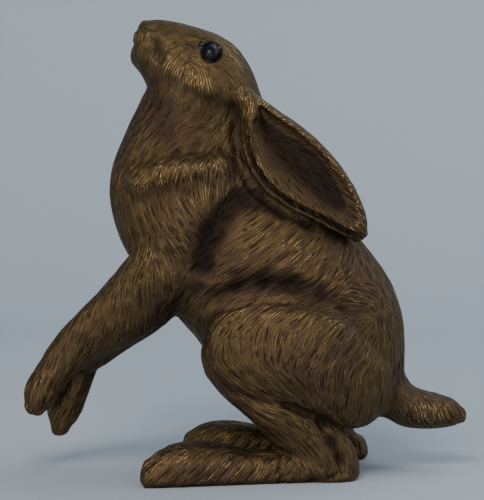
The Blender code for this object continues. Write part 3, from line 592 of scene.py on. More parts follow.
@dataclass(frozen=True)
class Muzzle:
    """Nose pad, nostrils, split lip and mouth, drawn from the front: bumps are y, z, radius, height."""

    back: float = -33.0
    least_turn: float = 0.2
    bumps: Rows = ((0.0, 157.6, 2.6, 0.7), (-4.2, 153.6, 2.8, 0.6), (4.2, 153.6, 2.8, 0.6),
                   (-2.6, 156.8, 1.0, -0.6), (2.6, 156.8, 1.0, -0.6), (0.0, 147.6, 3.4, 0.9))
    lines: tuple[Line, ...] = (
        Line(((0.0, 156.4), (0.0, 151.8)), 0.8, -1.0),
        Line(((-5.4, 149.9), (-2.4, 151.2), (0.0, 151.7), (2.4, 151.2), (5.4, 149.9)), 0.8, -0.4))

    def heights(self, coat: Coat) -> np.ndarray:
        """Height of the front's carving, only on the tip of the head and where it faces forward."""
        flat = coat.points[:, [1, 2]]
        total = np.zeros(len(flat))
        for y, z, radius, height in self.bumps:
            total += height * bell(np.linalg.norm(flat - (y, z), axis=1), radius)
        for line in self.lines:
            total += line.heights(flat)
        forward = np.clip(-coat.normals[:, 0] * FACING - self.least_turn, 0, 1)
        return total * forward * (coat.points[:, 0] < self.back)


@dataclass(frozen=True)
class Eyes:
    """Two glossy domes in their sockets, one on each side of the head."""

    middle: tuple[float, float] = (-11.9, 148.6)
    radius: float = 2.75
    dome: float = 1.35
    paint: float = 3.6
    painted_corners: Rows = ((-13.5, 149.9, 2.7), (-15.2, 151.0, 1.6))
    least_y: float = 6.0
    slot_depth: float = 1.3
    slot_gap: float = 0.3
    slot_half_width: float = 0.65
    lid_height: float = 0.25
    lid_gap: float = 0.7
    lid_half_width: float = 0.7
    duct: Rows = ((-13.6, 150.6), (-15.6, 151.2))
    duct_depth: float = 0.8
    duct_half_width: float = 1.1
    clearing: float = 4.1

    def distance(self, points: np.ndarray) -> np.ndarray:
        """Distance of each point from the middle of the eye, seen from the side."""
        return np.linalg.norm(points[:, [0, 2]] - self.middle, axis=1)

    def heights(self, coat: Coat) -> np.ndarray:
        """A dome, the square root of 1 less the squared share of the radius, a slot round it, and lids."""
        distance = self.distance(coat.points)
        heights = self.dome * np.sqrt(np.clip(1 - (distance / self.radius) ** 2, 0, 1))
        heights -= self.slot_depth * bell(distance - self.radius - self.slot_gap, self.slot_half_width)
        heights += self.lid_height * bell(distance - self.paint - self.lid_gap, self.lid_half_width)
        off_duct = path_distance(coat.points[:, [0, 2]], self.duct)[0]
        heights -= self.duct_depth * bell(off_duct, self.duct_half_width) * (distance > self.radius)
        return heights * np.clip(np.abs(coat.normals[:, 1]) * 2, 0, 1)


@dataclass(frozen=True)
class Toes:
    """Slots between the toes of both feet and both paws, and the hairline seam across the left foot."""

    body: Body
    slots: tuple[float, ...] = (-0.52, 0.0, 0.52)
    half_width: float = 0.75
    foot_slots_to: float = -27.0
    right_slots_back: float = 12.5
    foot_run_out: float = 5.0
    foot_top: float = 16.0
    foot_depth: float = 1.8
    foot_half: float = 8.6
    left_paw: tuple[float, float] = (-73.5, 22.5)
    right_paw: tuple[float, float] = (-67.0, 12.5)
    paw_reach: float = 7.0
    paw_start: float = 1.6
    paw_depth: float = 1.3
    paw_y: float = 6.8
    paw_half: float = 6.2
    seam: Rows = ((11.4, 0), (11.9, 3), (11.3, 6.2), (12.2, 9), (11.8, 12))
    seam_depth: float = 0.7
    seam_half_width: float = 0.45
    seam_top: float = 12.5

    def heights(self, coat: Coat) -> np.ndarray:
        """Bells across each slot, which fade towards the heel or the wrist."""
        x, y, z = coat.points.T
        heights = np.zeros(len(x))
        body = self.body
        for side, shift, back in ((Side.LEFT, 0.0, 0.0),
                                  (Side.RIGHT, body.right_foot_back, self.right_slots_back)):
            middle = side.value * (body.foot_y() - body.foot_splay * (x - shift))
            reach = np.clip((self.foot_slots_to + back - x) / self.foot_run_out, 0, 1)
            reach *= (z < self.foot_top) * (y * side.value > 0)
            across = y - middle
            for share in self.slots:
                heights -= self.foot_depth * reach * bell(across - share * self.foot_half, self.half_width)
        for side, tip in ((Side.LEFT, self.left_paw), (Side.RIGHT, self.right_paw)):
            distance = np.hypot(x - tip[0], z - tip[1])
            reach = np.clip(self.paw_start - distance / self.paw_reach, 0, 1) * (y * side.value > 0)
            across = y - side.value * self.paw_y
            for share in self.slots:
                heights -= self.paw_depth * reach * bell(across - share * self.paw_half, self.half_width)
        crack = path_distance(coat.points[:, [0, 2]], self.seam)[0]
        on_left = (z < self.seam_top) * (y < 0) * np.clip(-coat.normals[:, 1] * 2, 0, 1)
        heights -= self.seam_depth * bell(crack, self.seam_half_width) * on_left
        return heights


@dataclass(frozen=True)
class Ears:
    """Where the ears lie, the groove under their lips, and the strokes that fan out inside them."""

    rows: Rows
    root: tuple[float, float] = (1.5, 121.5)
    margin: float = 1.0
    nearest_y: float = 12.0
    hollow_from_y: float = 15.4
    root_row: int = 1
    groove_inset: float = 1.7
    groove_half_width: float = 0.95
    groove_depth: float = 2.5
    # Reach of the wax and painted shade laid along the groove under the lip.
    groove_wax_and_shade: float = 1.1

    def measure(self, points: np.ndarray) -> tuple[np.ndarray, np.ndarray, np.ndarray]:
        """Distance of points from the ear's middle line, its half width there and how far along they are."""
        rows = np.asarray(self.rows)
        middle = np.stack([rows[:, 0] + rows[:, 2], rows[:, 1] + rows[:, 3]], axis=1) / 2
        distance, along = path_distance(points[:, [0, 2]], tuple(map(tuple, middle)))
        half = np.hypot(rows[:, 0] - rows[:, 2], rows[:, 1] - rows[:, 3]) / 2
        return distance, np.interp(along, np.linspace(0, 1, len(half)), half), along

    def mask(self, points: np.ndarray) -> np.ndarray:
        """Whether each point is on an ear."""
        distance, half, _ = self.measure(points)
        return (distance < half + self.margin) & (np.abs(points[:, 1]) > self.nearest_y)

    def shade(self, points: np.ndarray) -> np.ndarray:
        """How much wax and painted shade lie in an ear: 0 at the rim, 1 in the groove and in the upper hollow
        where the rim's shadow falls, less by the lip.
        """
        distance, half, along = self.measure(points)
        flat = points[:, [0, 2]]
        upper = path_distance(flat, tuple((row[0], row[1]) for row in self.rows))[0]
        lower = path_distance(flat, tuple((row[2], row[3]) for row in self.rows))[0]
        within = np.clip((half - 2.6 - distance) / 2.0, 0, 1) * np.clip((1.02 - along) * 4, 0, 1)
        within *= np.interp(lower / (lower + upper), [0.20, 0.60], [0.55, 1.0])
        within *= np.clip((along - 0.06) * 12, 0, 1)
        groove = bell(path_distance(flat, self.groove().path)[0], self.groove_wax_and_shade)
        return np.maximum(within, groove) * (np.abs(points[:, 1]) > self.hollow_from_y)

    def inside(self, points: np.ndarray) -> np.ndarray:
        """How much the hollow is softened: 1 in its middle, 0 at the rim and on the back of the ear."""
        distance, half, along = self.measure(points)
        middle = np.clip((half - 3.6 - distance) / 2.0, 0, 1) * np.clip((along - 0.10) * 8, 0, 1)
        outer = np.interp(along, np.linspace(0, 1, len(self.rows)), [abs(row[4]) for row in self.rows])
        return middle * (np.abs(points[:, 1]) > outer - 1.6)

    def groove(self) -> Line:
        """The groove that parts the lip from the ear's lower edge, seen from the side."""
        path = []
        for ux, uz, lx, lz, _, _ in self.rows[self.root_row:]:
            inset = self.groove_inset / math.hypot(ux - lx, uz - lz)
            path.append((lx + (ux - lx) * inset, lz + (uz - lz) * inset))
        return Line(tuple(path), self.groove_half_width, -self.groove_depth)

    def heights(self, coat: Coat) -> np.ndarray:
        """Depth of the groove on the outer side of both ears."""
        outward = np.clip(coat.normals[:, 1] * np.sign(coat.points[:, 1]) * FACING, 0, 1)
        return self.groove().heights(coat.points[:, [0, 2]]) * outward * self.mask(coat.points)

    def lie(self, points: np.ndarray) -> np.ndarray:
        """Direction away from the ear's root, seen from the side."""
        away = np.zeros((len(points), 3))
        away[:, [0, 2]] = points[:, [0, 2]] - self.root
        return unit_rows(away)


@dataclass(frozen=True)
class FurLie:
    """How the fur lies: guides of x, z and the slant of its strokes in degrees above the horizontal."""

    ears: Ears
    guides: Rows = (
        (-36, 150, 80), (-35, 143, 78), (-25, 147, 62), (-29, 143, 57), (-19, 139, 77), (-23, 145, 60),
        (-15, 138, 100), (-16, 145, 140), (-11, 136, 100), (-5, 142, 138), (-4, 148, 132),
        (-2, 139, 135), (-8, 152, 150), (-21, 154, 167), (-26, 151, 55), (0, 132, 78), (1, 128, 90),
        (-30, 137, 85), (-34, 135, 80), (-16, 131, 88), (-7, 131, 112), (-8, 128, 62), (-31, 129, 60),
        (-24, 126, 45), (-16, 125, 33), (-38, 124, 55), (-41, 114, 52), (-32, 122, 47), (-23, 116, 35),
        (-12, 117, 47), (-7, 122, 55), (-36, 106, 62), (-23, 109, 70), (-14, 111, 60), (-8, 111, 118),
        (-16, 104, 104), (-12, 104, 86), (-30, 100, 110), (-37, 98, 100), (-33, 93, 114), (-26, 91, 118),
        (-20, 90, 125), (-25, 85, 128), (-44, 89, 97), (-33, 79, 76), (-29, 77, 114), (-39, 73, 62),
        (-48, 64, 76), (-41, 68, 85), (-30, 68, 92), (-34, 61, 95), (-17, 66, 50), (-62, 47, 70),
        (-71, 35, 70), (-76, 27, 76), (-66, 20, 62), (0, 99, 35), (8, 88, 38), (20, 82, 45),
        (32, 76, 62), (42, 72, 75), (50, 60, 98), (53, 46, 100), (-2, 83, 33), (-2, 78, 35),
        (-9, 75, 40), (-6, 71, 25), (-2, 63, 27), (-6, 57, 47), (16, 70, 22), (26, 74, 50), (34, 70, 35),
        (39, 61, 175), (40, 65.6, 165), (13, 60.5, 42), (2, 57, 48), (-12, 48, 72), (-4, 48, 102),
        (6, 51, 86), (12, 46, 80), (18.6, 47.5, 67), (25, 44.6, 54), (36, 52.6, 42), (40, 43.5, 40),
        (9, 40, 132), (15, 36, 130), (-6.6, 38, 142), (1, 31, 148), (11, 27.5, 162), (24, 32, 104),
        (29, 34, 92), (37, 32, 86), (46, 30, 80), (12, 18, 140), (22, 15, 128), (31, 11, 116),
        (37, 6, 100), (-24, 8, 45), (-8, 7, 45), (8, 6, 55), (58, 23, 108), (68, 21, 114), (75, 19, 122))
    blur: float = 4.0
    reach: float = 27.0
    block: int = 60000

    def directions(self, coat: Coat) -> np.ndarray:
        """Lie of the fur at every point of the coat.

        Slants are blended as doubled angles, weighted by 1 over the squared gap. Along the middle of the
        back, chest and belly the fur follows the body's own line, and on the ears it leaves their roots.

        Args:
            coat: The skin.

        Returns:
            A unit vector in the surface for each point.
        """
        guides = np.asarray(self.guides)
        slants = np.radians(guides[:, 2]) * 2
        flat = coat.points[:, [0, 2]]
        angle = np.empty(len(flat))
        for start in range(0, len(flat), self.block):
            part = flat[start:start + self.block]
            gap = ((part[:, None, :] - guides[None, :, :2]) ** 2).sum(axis=2)
            weight = 1 / (gap + self.blur) ** 2 * np.exp(-gap / (2 * self.reach ** 2))
            angle[start:start + self.block] = np.arctan2(weight @ np.sin(slants), weight @ np.cos(slants)) / 2
        lie = np.stack([np.cos(angle), np.zeros(len(angle)), np.sin(angle)], axis=1)
        normals = coat.normals
        line = np.stack([-normals[:, 2], np.zeros(len(angle)), normals[:, 0]], axis=1)
        line *= np.where((line * lie).sum(axis=1) < 0, -1.0, 1.0)[:, None]
        share = np.clip(np.abs(normals[:, 1]) * 1.5, 0, 1)[:, None]
        lie = lie * share + line * (1 - share)
        on_ear = self.ears.mask(coat.points)
        lie[on_ear] = self.ears.lie(coat.points[on_ear])
        lie -= normals * (lie * normals).sum(axis=1)[:, None]
        return unit_rows(lie)


@dataclass(frozen=True)
class Strokes:
    """Furrows cut along the lie of the fur, packed side by side until they cover the coat."""

    name: str
    spacing: float
    half_width: float
    depth: float
    length: float
    batches: int
    seed: int
    step: float = 0.8
    shortest: float = 2.2
    apart: float = 0.75
    near: float = 0.95
    same_side: float = 0.5
    lengths: tuple[float, float] = (0.6, 1.4)
    depths: tuple[float, float] = (0.6, 1.15)
    thickness: float = 1.2

    def trace(self, coat: Coat, grid: PointGrid, lie: np.ndarray, taken: np.ndarray, seeds: np.ndarray,
              lengths: np.ndarray) -> tuple[np.ndarray, np.ndarray, np.ndarray, np.ndarray]:
        """Follow the fur both ways from each seed, until the stroke is long enough or meets another.

        Args:
            coat: The skin.
            grid: Its points by cell.
            lie: Direction of the fur at each point.
            taken: Whether each point already has a stroke.
            seeds: Numbers of the points to start from.
            lengths: How long each stroke may grow.

        Returns:
            Places along the strokes, the direction there, which stroke each belongs to, and how far it is
            from the seed, below 0 behind it.
        """
        count = len(seeds)
        way = np.repeat([1.0, -1.0], count)
        here = np.tile(seeds, 2)
        place = coat.points[here]
        heading = lie[here] * way[:, None]
        half = np.tile(lengths, 2) / 2
        growing = np.ones(2 * count, dtype=bool)
        places, headings = [place[:count]], [heading[:count]]
        whose, reach = [np.arange(count)], [np.zeros(count)]
        for number in range(1, int(half.max() / self.step) + 1):
            growing &= number * self.step < half
            if not growing.any():
                break
            moved = place + heading * self.step
            near = np.full(2 * count, -1)
            near[growing] = grid.nearest(moved[growing])
            growing &= near >= 0
            facing = (coat.normals[near] * coat.normals[here]).sum(axis=1)
            growing &= ~taken[near] & (facing > self.same_side)
            normal = coat.normals[near]
            flat = moved - normal * ((moved - coat.points[near]) * normal).sum(axis=1)[:, None]
            place = np.where(growing[:, None], flat, place)
            turned = lie[near] * np.sign((lie[near] * heading).sum(axis=1))[:, None]
            heading = np.where(growing[:, None], turned, heading)
            here = np.where(growing, near, here)
            places.append(place[growing])
            headings.append(heading[growing])
            whose.append(np.flatnonzero(growing) % count)
            reach.append(way[growing] * number * self.step)
        return np.vstack(places), np.vstack(headings), np.concatenate(whose), np.concatenate(reach)

    def keep_apart(self, places: np.ndarray, whose: np.ndarray, reach: np.ndarray) -> np.ndarray:
        """Choose the places of a batch to keep, so that no two of its strokes touch and none is a stub.

        Args:
            places: Places along the strokes.
            whose: Which stroke each belongs to.
            reach: How far each is from its seed.

        Returns:
            Whether to keep each place.
        """
        pair, other = PointGrid(places, 2 * self.apart * self.spacing).pairs(places)
        gap = np.linalg.norm(places[pair] - places[other], axis=1)
        touching = pair[(gap < self.apart * self.spacing) & (whose[other] < whose[pair])]
        ahead = reach[touching] >= 0
        first = np.full(whose.max() + 1, -np.inf)
        last = np.full(whose.max() + 1, np.inf)
        np.minimum.at(last, whose[touching[ahead]], reach[touching[ahead]])
        np.maximum.at(first, whose[touching[~ahead]], reach[touching[~ahead]])
        keep = (reach < last[whose]) & (reach > first[whose])
        low, high = self.ends(whose, reach, keep)
        return keep & ((high - low)[whose] >= self.shortest)

    def ends(self, whose: np.ndarray, reach: np.ndarray, keep: np.ndarray) -> tuple[np.ndarray, np.ndarray]:
        """Where each stroke starts and stops, from its kept places."""
        low = np.full(whose.max() + 1, np.inf)
        high = np.full(whose.max() + 1, -np.inf)
        np.minimum.at(low, whose[keep], reach[keep])
        np.maximum.at(high, whose[keep], reach[keep])
        return low, high

    def carve(self, coat: Coat, lie: np.ndarray, where: np.ndarray, scale: np.ndarray) -> np.ndarray:
        """Cut the strokes.

        Across a stroke the furrow is 1 less the share of the half width to the power 1.5, and along it the
        depth is the square root of the sine of the way, so both ends run out.

        Args:
            coat: The skin.
            lie: Direction of the fur at each point.
            where: Whether a stroke may touch each point.
            scale: How long and how deep strokes are at each point, 1 for the body's.

        Returns:
            How deep each point lies in a furrow, 0 to about 1.
        """
        choice = np.random.default_rng(self.seed)
        near_grid = PointGrid(coat.points, self.near)
        clear = self.apart * self.spacing
        wide_grid = PointGrid(coat.points, 2.2 * max(self.half_width, clear, self.step))
        taken = ~where
        depth = np.zeros(len(coat.points))
        cell = 0.75 * self.length
        for _ in range(self.batches):
            free = choice.permutation(np.flatnonzero(~taken))
            cells = np.floor((coat.points[free] + choice.uniform(0, cell, 3)) / cell).astype(np.int64)
            keys = (cells[:, 0] * 4096 + cells[:, 1]) * 4096 + cells[:, 2]
            seeds = free[np.unique(keys, return_index=True)[1]]
            if len(seeds) == 0:
                break
            lengths = self.length * scale[seeds] * choice.uniform(*self.lengths, len(seeds))
            weight = choice.uniform(*self.depths, len(seeds)) * np.sqrt(scale[seeds])
            places, headings, whose, reach = self.trace(coat, near_grid, lie, taken, seeds, lengths)
            taken[seeds] = True
            keep = self.keep_apart(places, whose, reach)
            low, high = self.ends(whose, reach, keep)
            places, headings, whose, reach = places[keep], headings[keep], whose[keep], reach[keep]
            share = (reach - low[whose]) / (high - low)[whose]
            pair, point = wide_grid.pairs(places)
            offset = coat.points[point] - places[pair]
            along = (offset * headings[pair]).sum(axis=1)
            rise = (offset * coat.normals[point]).sum(axis=1)
            across = np.sqrt(np.maximum((offset ** 2).sum(axis=1) - along ** 2 - rise ** 2, 0))
            close = (np.abs(along) < 0.62 * self.step) & (np.abs(rise) < self.thickness)
            pair, point, across = pair[close], point[close], across[close]
            profile = 1 - np.clip(across / self.half_width, 0, 1) ** 1.5
            run_out = np.sqrt(np.sin(np.pi * (0.06 + 0.88 * share[pair])))
            np.maximum.at(depth, point, profile * run_out * weight[whose[pair]])
            taken[point[across < clear]] = True
        LOG.info("%s: %.0f%% of the coat has strokes", self.name, 100 * taken[where].mean())
        return depth


@dataclass(frozen=True)
class WearAndPaintedLight:
    """Where the finish is rubbed golden or wax has stayed, and where highlights and shade are painted: x, z,
    radius and amount, below 0 for wax and painted shade.
    """

    # Patches on the nose, cheek, head, chest ridge, elbow, thigh ridge, feet and tail are rubbed gold and
    # partly painted highlight; those below the ear, in the shoulder valley, along the crease above the thigh,
    # under the jaw and round the eye and mouth are wax and partly painted shade.
    patches: Rows = (
        (-34, 159.2, 2.2, 0.9), (-37, 154.3, 2.2, 0.8), (-33, 154.2, 2.4, 1), (-26.5, 145, 3.4, 0.9),
        (-22.5, 141.8, 3.4, 1), (-18.5, 138.6, 3.4, 1), (-13.5, 136.2, 3.2, 0.7), (-7, 151.5, 3, 0.8),
        (-4.5, 147.5, 3.2, 0.7), (-2.5, 143.5, 3.2, 0.6), (-15.5, 145, 2.8, 0.5), (1.6, 129.5, 3.4, 0.8),
        (-36.5, 104, 4.2, 0.9), (-28, 106.5, 4.4, 1), (-19, 108, 4.6, 1), (-10, 108.8, 4.4, 0.9),
        (-14.5, 102.5, 4, 0.9), (-24, 86, 5.5, 0.5), (-34, 77, 4, 0.8), (-25, 79, 5, 0.5),
        (-29, 73, 5, 0.5), (1.5, 81, 4.5, 0.6), (10.5, 84.5, 5, 0.8), (18.5, 80.5, 5, 0.9),
        (26.5, 75.5, 5, 0.8), (34, 70, 4.5, 0.8), (39.5, 63.5, 3.5, 0.8), (-4, 60.5, 4, 0.8),
        (8, 61.5, 4.5, 1), (20, 60, 4.5, 1), (31, 56, 5, 0.7), (61, 22.5, 4.5, 0.8), (68, 21, 4.5, 0.8),
        (-32, 12, 6, 0.7), (-20, 10, 5, 0.7), (-8, 8, 5, 0.6), (4, 7, 5, 0.5), (28, 112, 5, 0.5),
        (4, 98, 4.6, -0.9), (12.5, 93.4, 4.6, -0.8), (21, 89, 4.4, -0.8), (29.5, 85, 3.8, -0.6),
        (27, 21.5, 2.4, -0.6), (29.5, 15, 2.8, -0.9), (32, 9, 2.2, -0.7), (34.5, 8.5, 2, 0.7),
        (-2, 99, 4, -0.7), (-7, 94, 5, -0.9), (-12, 86.5, 5.5, -1), (-15, 77, 5, -0.9),
        (-17.5, 67.5, 5, -0.6), (-30, 97.5, 5, -0.5), (-30, 131, 7, -0.4), (-14, 127.5, 6, -0.4),
        (-28, 121, 7, -0.45), (-17, 119, 6, -0.35), (-3, 73, 4.5, -0.5), (6, 74, 5, -0.5),
        (16, 72, 5, -0.5), (25, 69, 4.5, -0.4), (-4, 66.5, 3.6, -0.6), (6, 68, 4.4, -0.6),
        (16, 67.6, 4.4, -0.6), (26, 64.6, 4, -0.5), (36, 60.5, 3.4, -0.5), (-34.5, 156.8, 1.4, -0.4),
        (-35, 149.5, 2.8, -0.5), (-30.4, 149.5, 2.4, -0.5), (-30, 146.5, 2, -0.4), (-12, 149, 4.6, -0.5))

    def amount(self, points: np.ndarray) -> np.ndarray:
        """Sum of the patches at each point, held between -1 and 1."""
        flat = points[:, [0, 2]]
        total = np.zeros(len(flat))
        for x, z, radius, amount in self.patches:
            total += amount * bell(np.linalg.norm(flat - (x, z), axis=1), radius)
        return np.clip(total, -1, 1)


class NodeTree:
    """Adds shader nodes to a tree and joins them."""

    def __init__(self, tree: bpy.types.NodeTree) -> None:
        """Keep the tree."""
        self.tree = tree

    def add(self, kind: str, **settings: object) -> bpy.types.Node:
        """Add a node and set its options."""
        node = self.tree.nodes.new(kind)
        for key, value in settings.items():
            setattr(node, key, value)
        return node

    def feed(self, socket: bpy.types.NodeSocket, value: object) -> None:
        """Link an output to a socket, or set the socket to a constant."""
        if isinstance(value, bpy.types.NodeSocket):
            self.tree.links.new(value, socket)
        else:
            socket.default_value = value

    def math(self, operation: str, *values: object, clamp: bool = False) -> bpy.types.NodeSocket:
        """A Math node's result."""
        node = self.add("ShaderNodeMath", operation=operation, use_clamp=clamp)
        for socket, value in zip(node.inputs, values):
            self.feed(socket, value)
        return node.outputs[0]

    def product(self, first: object, *others: object) -> bpy.types.NodeSocket:
        """Several values multiplied."""
        for other in others:
            first = self.math("MULTIPLY", first, other)
        return first

    def spread(self, value: object, low: float, high: float, to_low: float = 0.0,
               to_high: float = 1.0) -> bpy.types.NodeSocket:
        """Map a value smoothly from one range to another, held at both ends."""
        node = self.add("ShaderNodeMapRange", interpolation_type="SMOOTHSTEP")
        for name, given in (("Value", value), ("From Min", low), ("From Max", high), ("To Min", to_low),
                            ("To Max", to_high)):
            self.feed(node.inputs[name], given)
        return node.outputs["Result"]

    def mix(self, share: object, first: object, second: object) -> bpy.types.NodeSocket:
        """Mix two colours."""
        node = self.add("ShaderNodeMix", data_type="RGBA")
        self.feed(node.inputs[0], share)
        self.feed(node.inputs[6], first)
        self.feed(node.inputs[7], second)
        return node.outputs[2]

    def noise(self, place: object, scale: float, detail: float, roughness: float) -> bpy.types.NodeSocket:
        """A noise texture's value."""
        node = self.add("ShaderNodeTexNoise")
        self.feed(node.inputs["Vector"], place)
        node.inputs["Scale"].default_value = scale
        node.inputs["Detail"].default_value = detail
        node.inputs["Roughness"].default_value = roughness
        return node.outputs["Fac"]

    def attribute(self, name: str) -> bpy.types.Node:
        """Reads a layer that the coat noted on its points."""
        return self.add("ShaderNodeAttribute", attribute_name=name)


def effect(name: str, inputs: dict[str, tuple[str, object]],
           outputs: dict[str, str]) -> tuple[bpy.types.NodeTree, NodeTree]:
    """Start a shader node group.

    Args:
        name: The effect's name.
        inputs: Socket type and default of each input.
        outputs: Socket type of each output.

    Returns:
        The group and a writer for its nodes.
    """
    group = bpy.data.node_groups.new(name, "ShaderNodeTree")
    for label, (kind, default) in inputs.items():
        socket = group.interface.new_socket(label, in_out="INPUT", socket_type=kind)
        socket.default_value = default
    for label, kind in outputs.items():
        group.interface.new_socket(label, in_out="OUTPUT", socket_type=kind)
    return group, NodeTree(group)


def hair_group() -> bpy.types.NodeTree:
    """Fine hair lines that run with the fur: stripes whose waves lie across it, in two widths."""
    group, nodes = effect("fine_hair", {"Across": ("NodeSocketVector", (0.0, 0.0, 1.0)),
                                        "Cell": ("NodeSocketFloat", 190.0),
                                        "Lines": ("NodeSocketFloat", 6.0)}, {"Height": "NodeSocketFloat"})
    given = nodes.add("NodeGroupInput").outputs
    place = nodes.add("ShaderNodeTexCoord").outputs["Object"]
    values = []
    for share, weight in ((1.0, 0.55), (1.7, 0.45)):
        wave = nodes.add("ShaderNodeTexGabor", gabor_type="3D")
        nodes.feed(wave.inputs["Vector"], place)
        nodes.feed(wave.inputs["Scale"], nodes.math("MULTIPLY", given["Cell"], share))
        nodes.feed(wave.inputs["Frequency"], given["Lines"])
        wave.inputs["Anisotropy"].default_value = 1.0
        nodes.feed(wave.inputs[5], given["Across"])
        values.append(nodes.math("MULTIPLY", wave.outputs["Value"], weight))
    height = nodes.math("ADD", *values)
    result = nodes.add("NodeGroupOutput")
    nodes.feed(result.inputs["Height"], height)
    return group


def eye_group(eyes: Eyes) -> bpy.types.NodeTree:
    """A mask that is 1 on the painted eye, its slot and the corner towards the nose."""
    group, nodes = effect("eye_paint", {"Edge": ("NodeSocketFloat", 0.0002)}, {"Mask": "NodeSocketFloat"})
    given = nodes.add("NodeGroupInput").outputs
    parts = nodes.add("ShaderNodeSeparateXYZ")
    nodes.feed(parts.inputs[0], nodes.add("ShaderNodeTexCoord").outputs["Object"])
    x, y, z = parts.outputs
    masks = []
    for at_x, at_z, radius in ((*eyes.middle, eyes.paint), *eyes.painted_corners):
        away_x = nodes.math("POWER", nodes.math("SUBTRACT", x, at_x * UNIT), 2.0)
        away_z = nodes.math("POWER", nodes.math("SUBTRACT", z, at_z * UNIT), 2.0)
        distance = nodes.math("SQRT", nodes.math("ADD", away_x, away_z))
        inside = nodes.math("SUBTRACT", radius * UNIT, distance)
        masks.append(nodes.math("DIVIDE", inside, given["Edge"], clamp=True))
    whole = nodes.math("MAXIMUM", nodes.math("MAXIMUM", masks[0], masks[1]), masks[2])
    outward = nodes.math("GREATER_THAN", nodes.math("ABSOLUTE", y), eyes.least_y * UNIT)
    result = nodes.add("NodeGroupOutput")
    nodes.feed(result.inputs["Mask"], nodes.math("MULTIPLY", whole, outward))
    return group


@dataclass(frozen=True)
class BronzeFinish:
    """Cold-cast bronze: brown metal, dark wax in the furrows, gold rubbed over the ridges, black eyes.

    Gold shows where the product of its layers is high, and wax covers what the bare layers leave. The patched
    layer of rubbing and wax also holds painted highlights, shown as gold, and painted shade, shown as wax.
    Each layer is mapped from its first two numbers to the last two, or to 0 and 1.
    """

    name: str = "bronze_patina"
    wax: tuple[float, ...] = (0.012, 0.0080, 0.0075, 1.0)
    brown: tuple[float, ...] = (0.074, 0.043, 0.026, 1.0)
    olive: tuple[float, ...] = (0.090, 0.058, 0.026, 1.0)
    gold: tuple[float, ...] = (0.74, 0.48, 0.18, 1.0)
    eye: tuple[float, ...] = (0.004, 0.004, 0.006, 1.0)
    metal: float = 0.88
    eye_gloss: float = 0.26
    specular: float = 0.22
    bump_strength: float = 0.9
    bump_height: float = 0.00034
    # The patched layer of rubbing and wax raises the gold with painted highlights and lays wax with painted
    # shade.
    gold_layers: Layers = (
        ("furrow", (0.10, 0.60, 1.0, 0.15)), ("lines", (0.50, 0.70)), ("hollow", (-0.30, 0.20, 1.0, 0.15)),
        ("flecks", (0.32, 0.60, 0.35, 1.0)), ("wear_and_painted_light", (-0.1, 0.9, 0.30, 1.0)),
        ("wax_and_painted_shade", (0.0, 1.0, 1.0, 0.40)))
    bare_layers: Layers = (
        ("furrow", (0.40, 0.95, 1.0, 0.30)), ("hollow", (0.08, 0.70, 1.0, 0.50)),
        ("lines", (0.50, 0.32, 1.0, 0.32)), ("wax_and_painted_shade", (0.0, 1.0, 1.0, 0.25)))

    def material(self, eyes: Eyes) -> bpy.types.Material:
        """Build the material.

        Args:
            eyes: Where the black paint goes.

        Returns:
            The material, which reads the coat's furrow, hollow and across layers, and its layer of rubbing
            and wax with painted highlights and shade.
        """
        material = bpy.data.materials.new(self.name)
        material.use_nodes = True
        nodes = NodeTree(material.node_tree)
        shader = material.node_tree.nodes["Principled BSDF"]
        place = nodes.add("ShaderNodeTexCoord").outputs["Object"]
        layers = {name: nodes.attribute(name).outputs["Fac"] for name in ("furrow", "hollow", "wear_and_painted_light")}
        hair = nodes.add("ShaderNodeGroup", node_tree=hair_group())
        nodes.feed(hair.inputs["Across"], nodes.attribute("across").outputs["Vector"])
        lines = layers["lines"] = hair.outputs["Height"]
        mask = nodes.add("ShaderNodeGroup", node_tree=eye_group(eyes)).outputs["Mask"]
        patches = nodes.noise(place, 38.0, 4.0, 0.55)
        flecks = layers["flecks"] = nodes.noise(place, 900.0, 3.0, 0.6)
        # Wax where the patches fall below 0, partly painted shade; the gold share below carries painted
        # highlights too.
        layers["wax_and_painted_shade"] = nodes.spread(layers["wear_and_painted_light"], 0.0, -0.9)
        rub_and_highlight, clear = (nodes.product(*(nodes.spread(layers[name], *span) for name, span in table))
                      for table in (self.gold_layers, self.bare_layers))
        tone = nodes.mix(nodes.spread(patches, 0.35, 0.65), self.brown, self.olive)
        colour = nodes.mix(clear, self.wax, nodes.mix(rub_and_highlight, tone, self.gold))
        nodes.feed(shader.inputs["Base Color"], nodes.mix(mask, colour, self.eye))
        rough = nodes.math("ADD", nodes.spread(rub_and_highlight, 0.0, 1.0, 0.50, 0.38),
                           nodes.spread(clear, 0.0, 1.0, 0.12, 0.0))
        rough = nodes.math("MULTIPLY_ADD", mask, -self.eye_gloss, rough, clamp=True)
        nodes.feed(shader.inputs["Roughness"], rough)
        metallic = nodes.math("MULTIPLY_ADD", mask, -self.metal, self.metal, clamp=True)
        nodes.feed(shader.inputs["Metallic"], metallic)
        shader.inputs["Specular IOR Level"].default_value = self.specular
        height = nodes.math("ADD", lines, nodes.math("MULTIPLY", flecks, 0.30))
        height = nodes.math("MULTIPLY", height, nodes.math("SUBTRACT", 1.0, mask))
        bump = nodes.add("ShaderNodeBump")
        bump.inputs["Strength"].default_value = self.bump_strength
        bump.inputs["Distance"].default_value = self.bump_height
        nodes.feed(bump.inputs["Height"], height)
        nodes.feed(shader.inputs["Normal"], bump.outputs["Normal"])
        return material


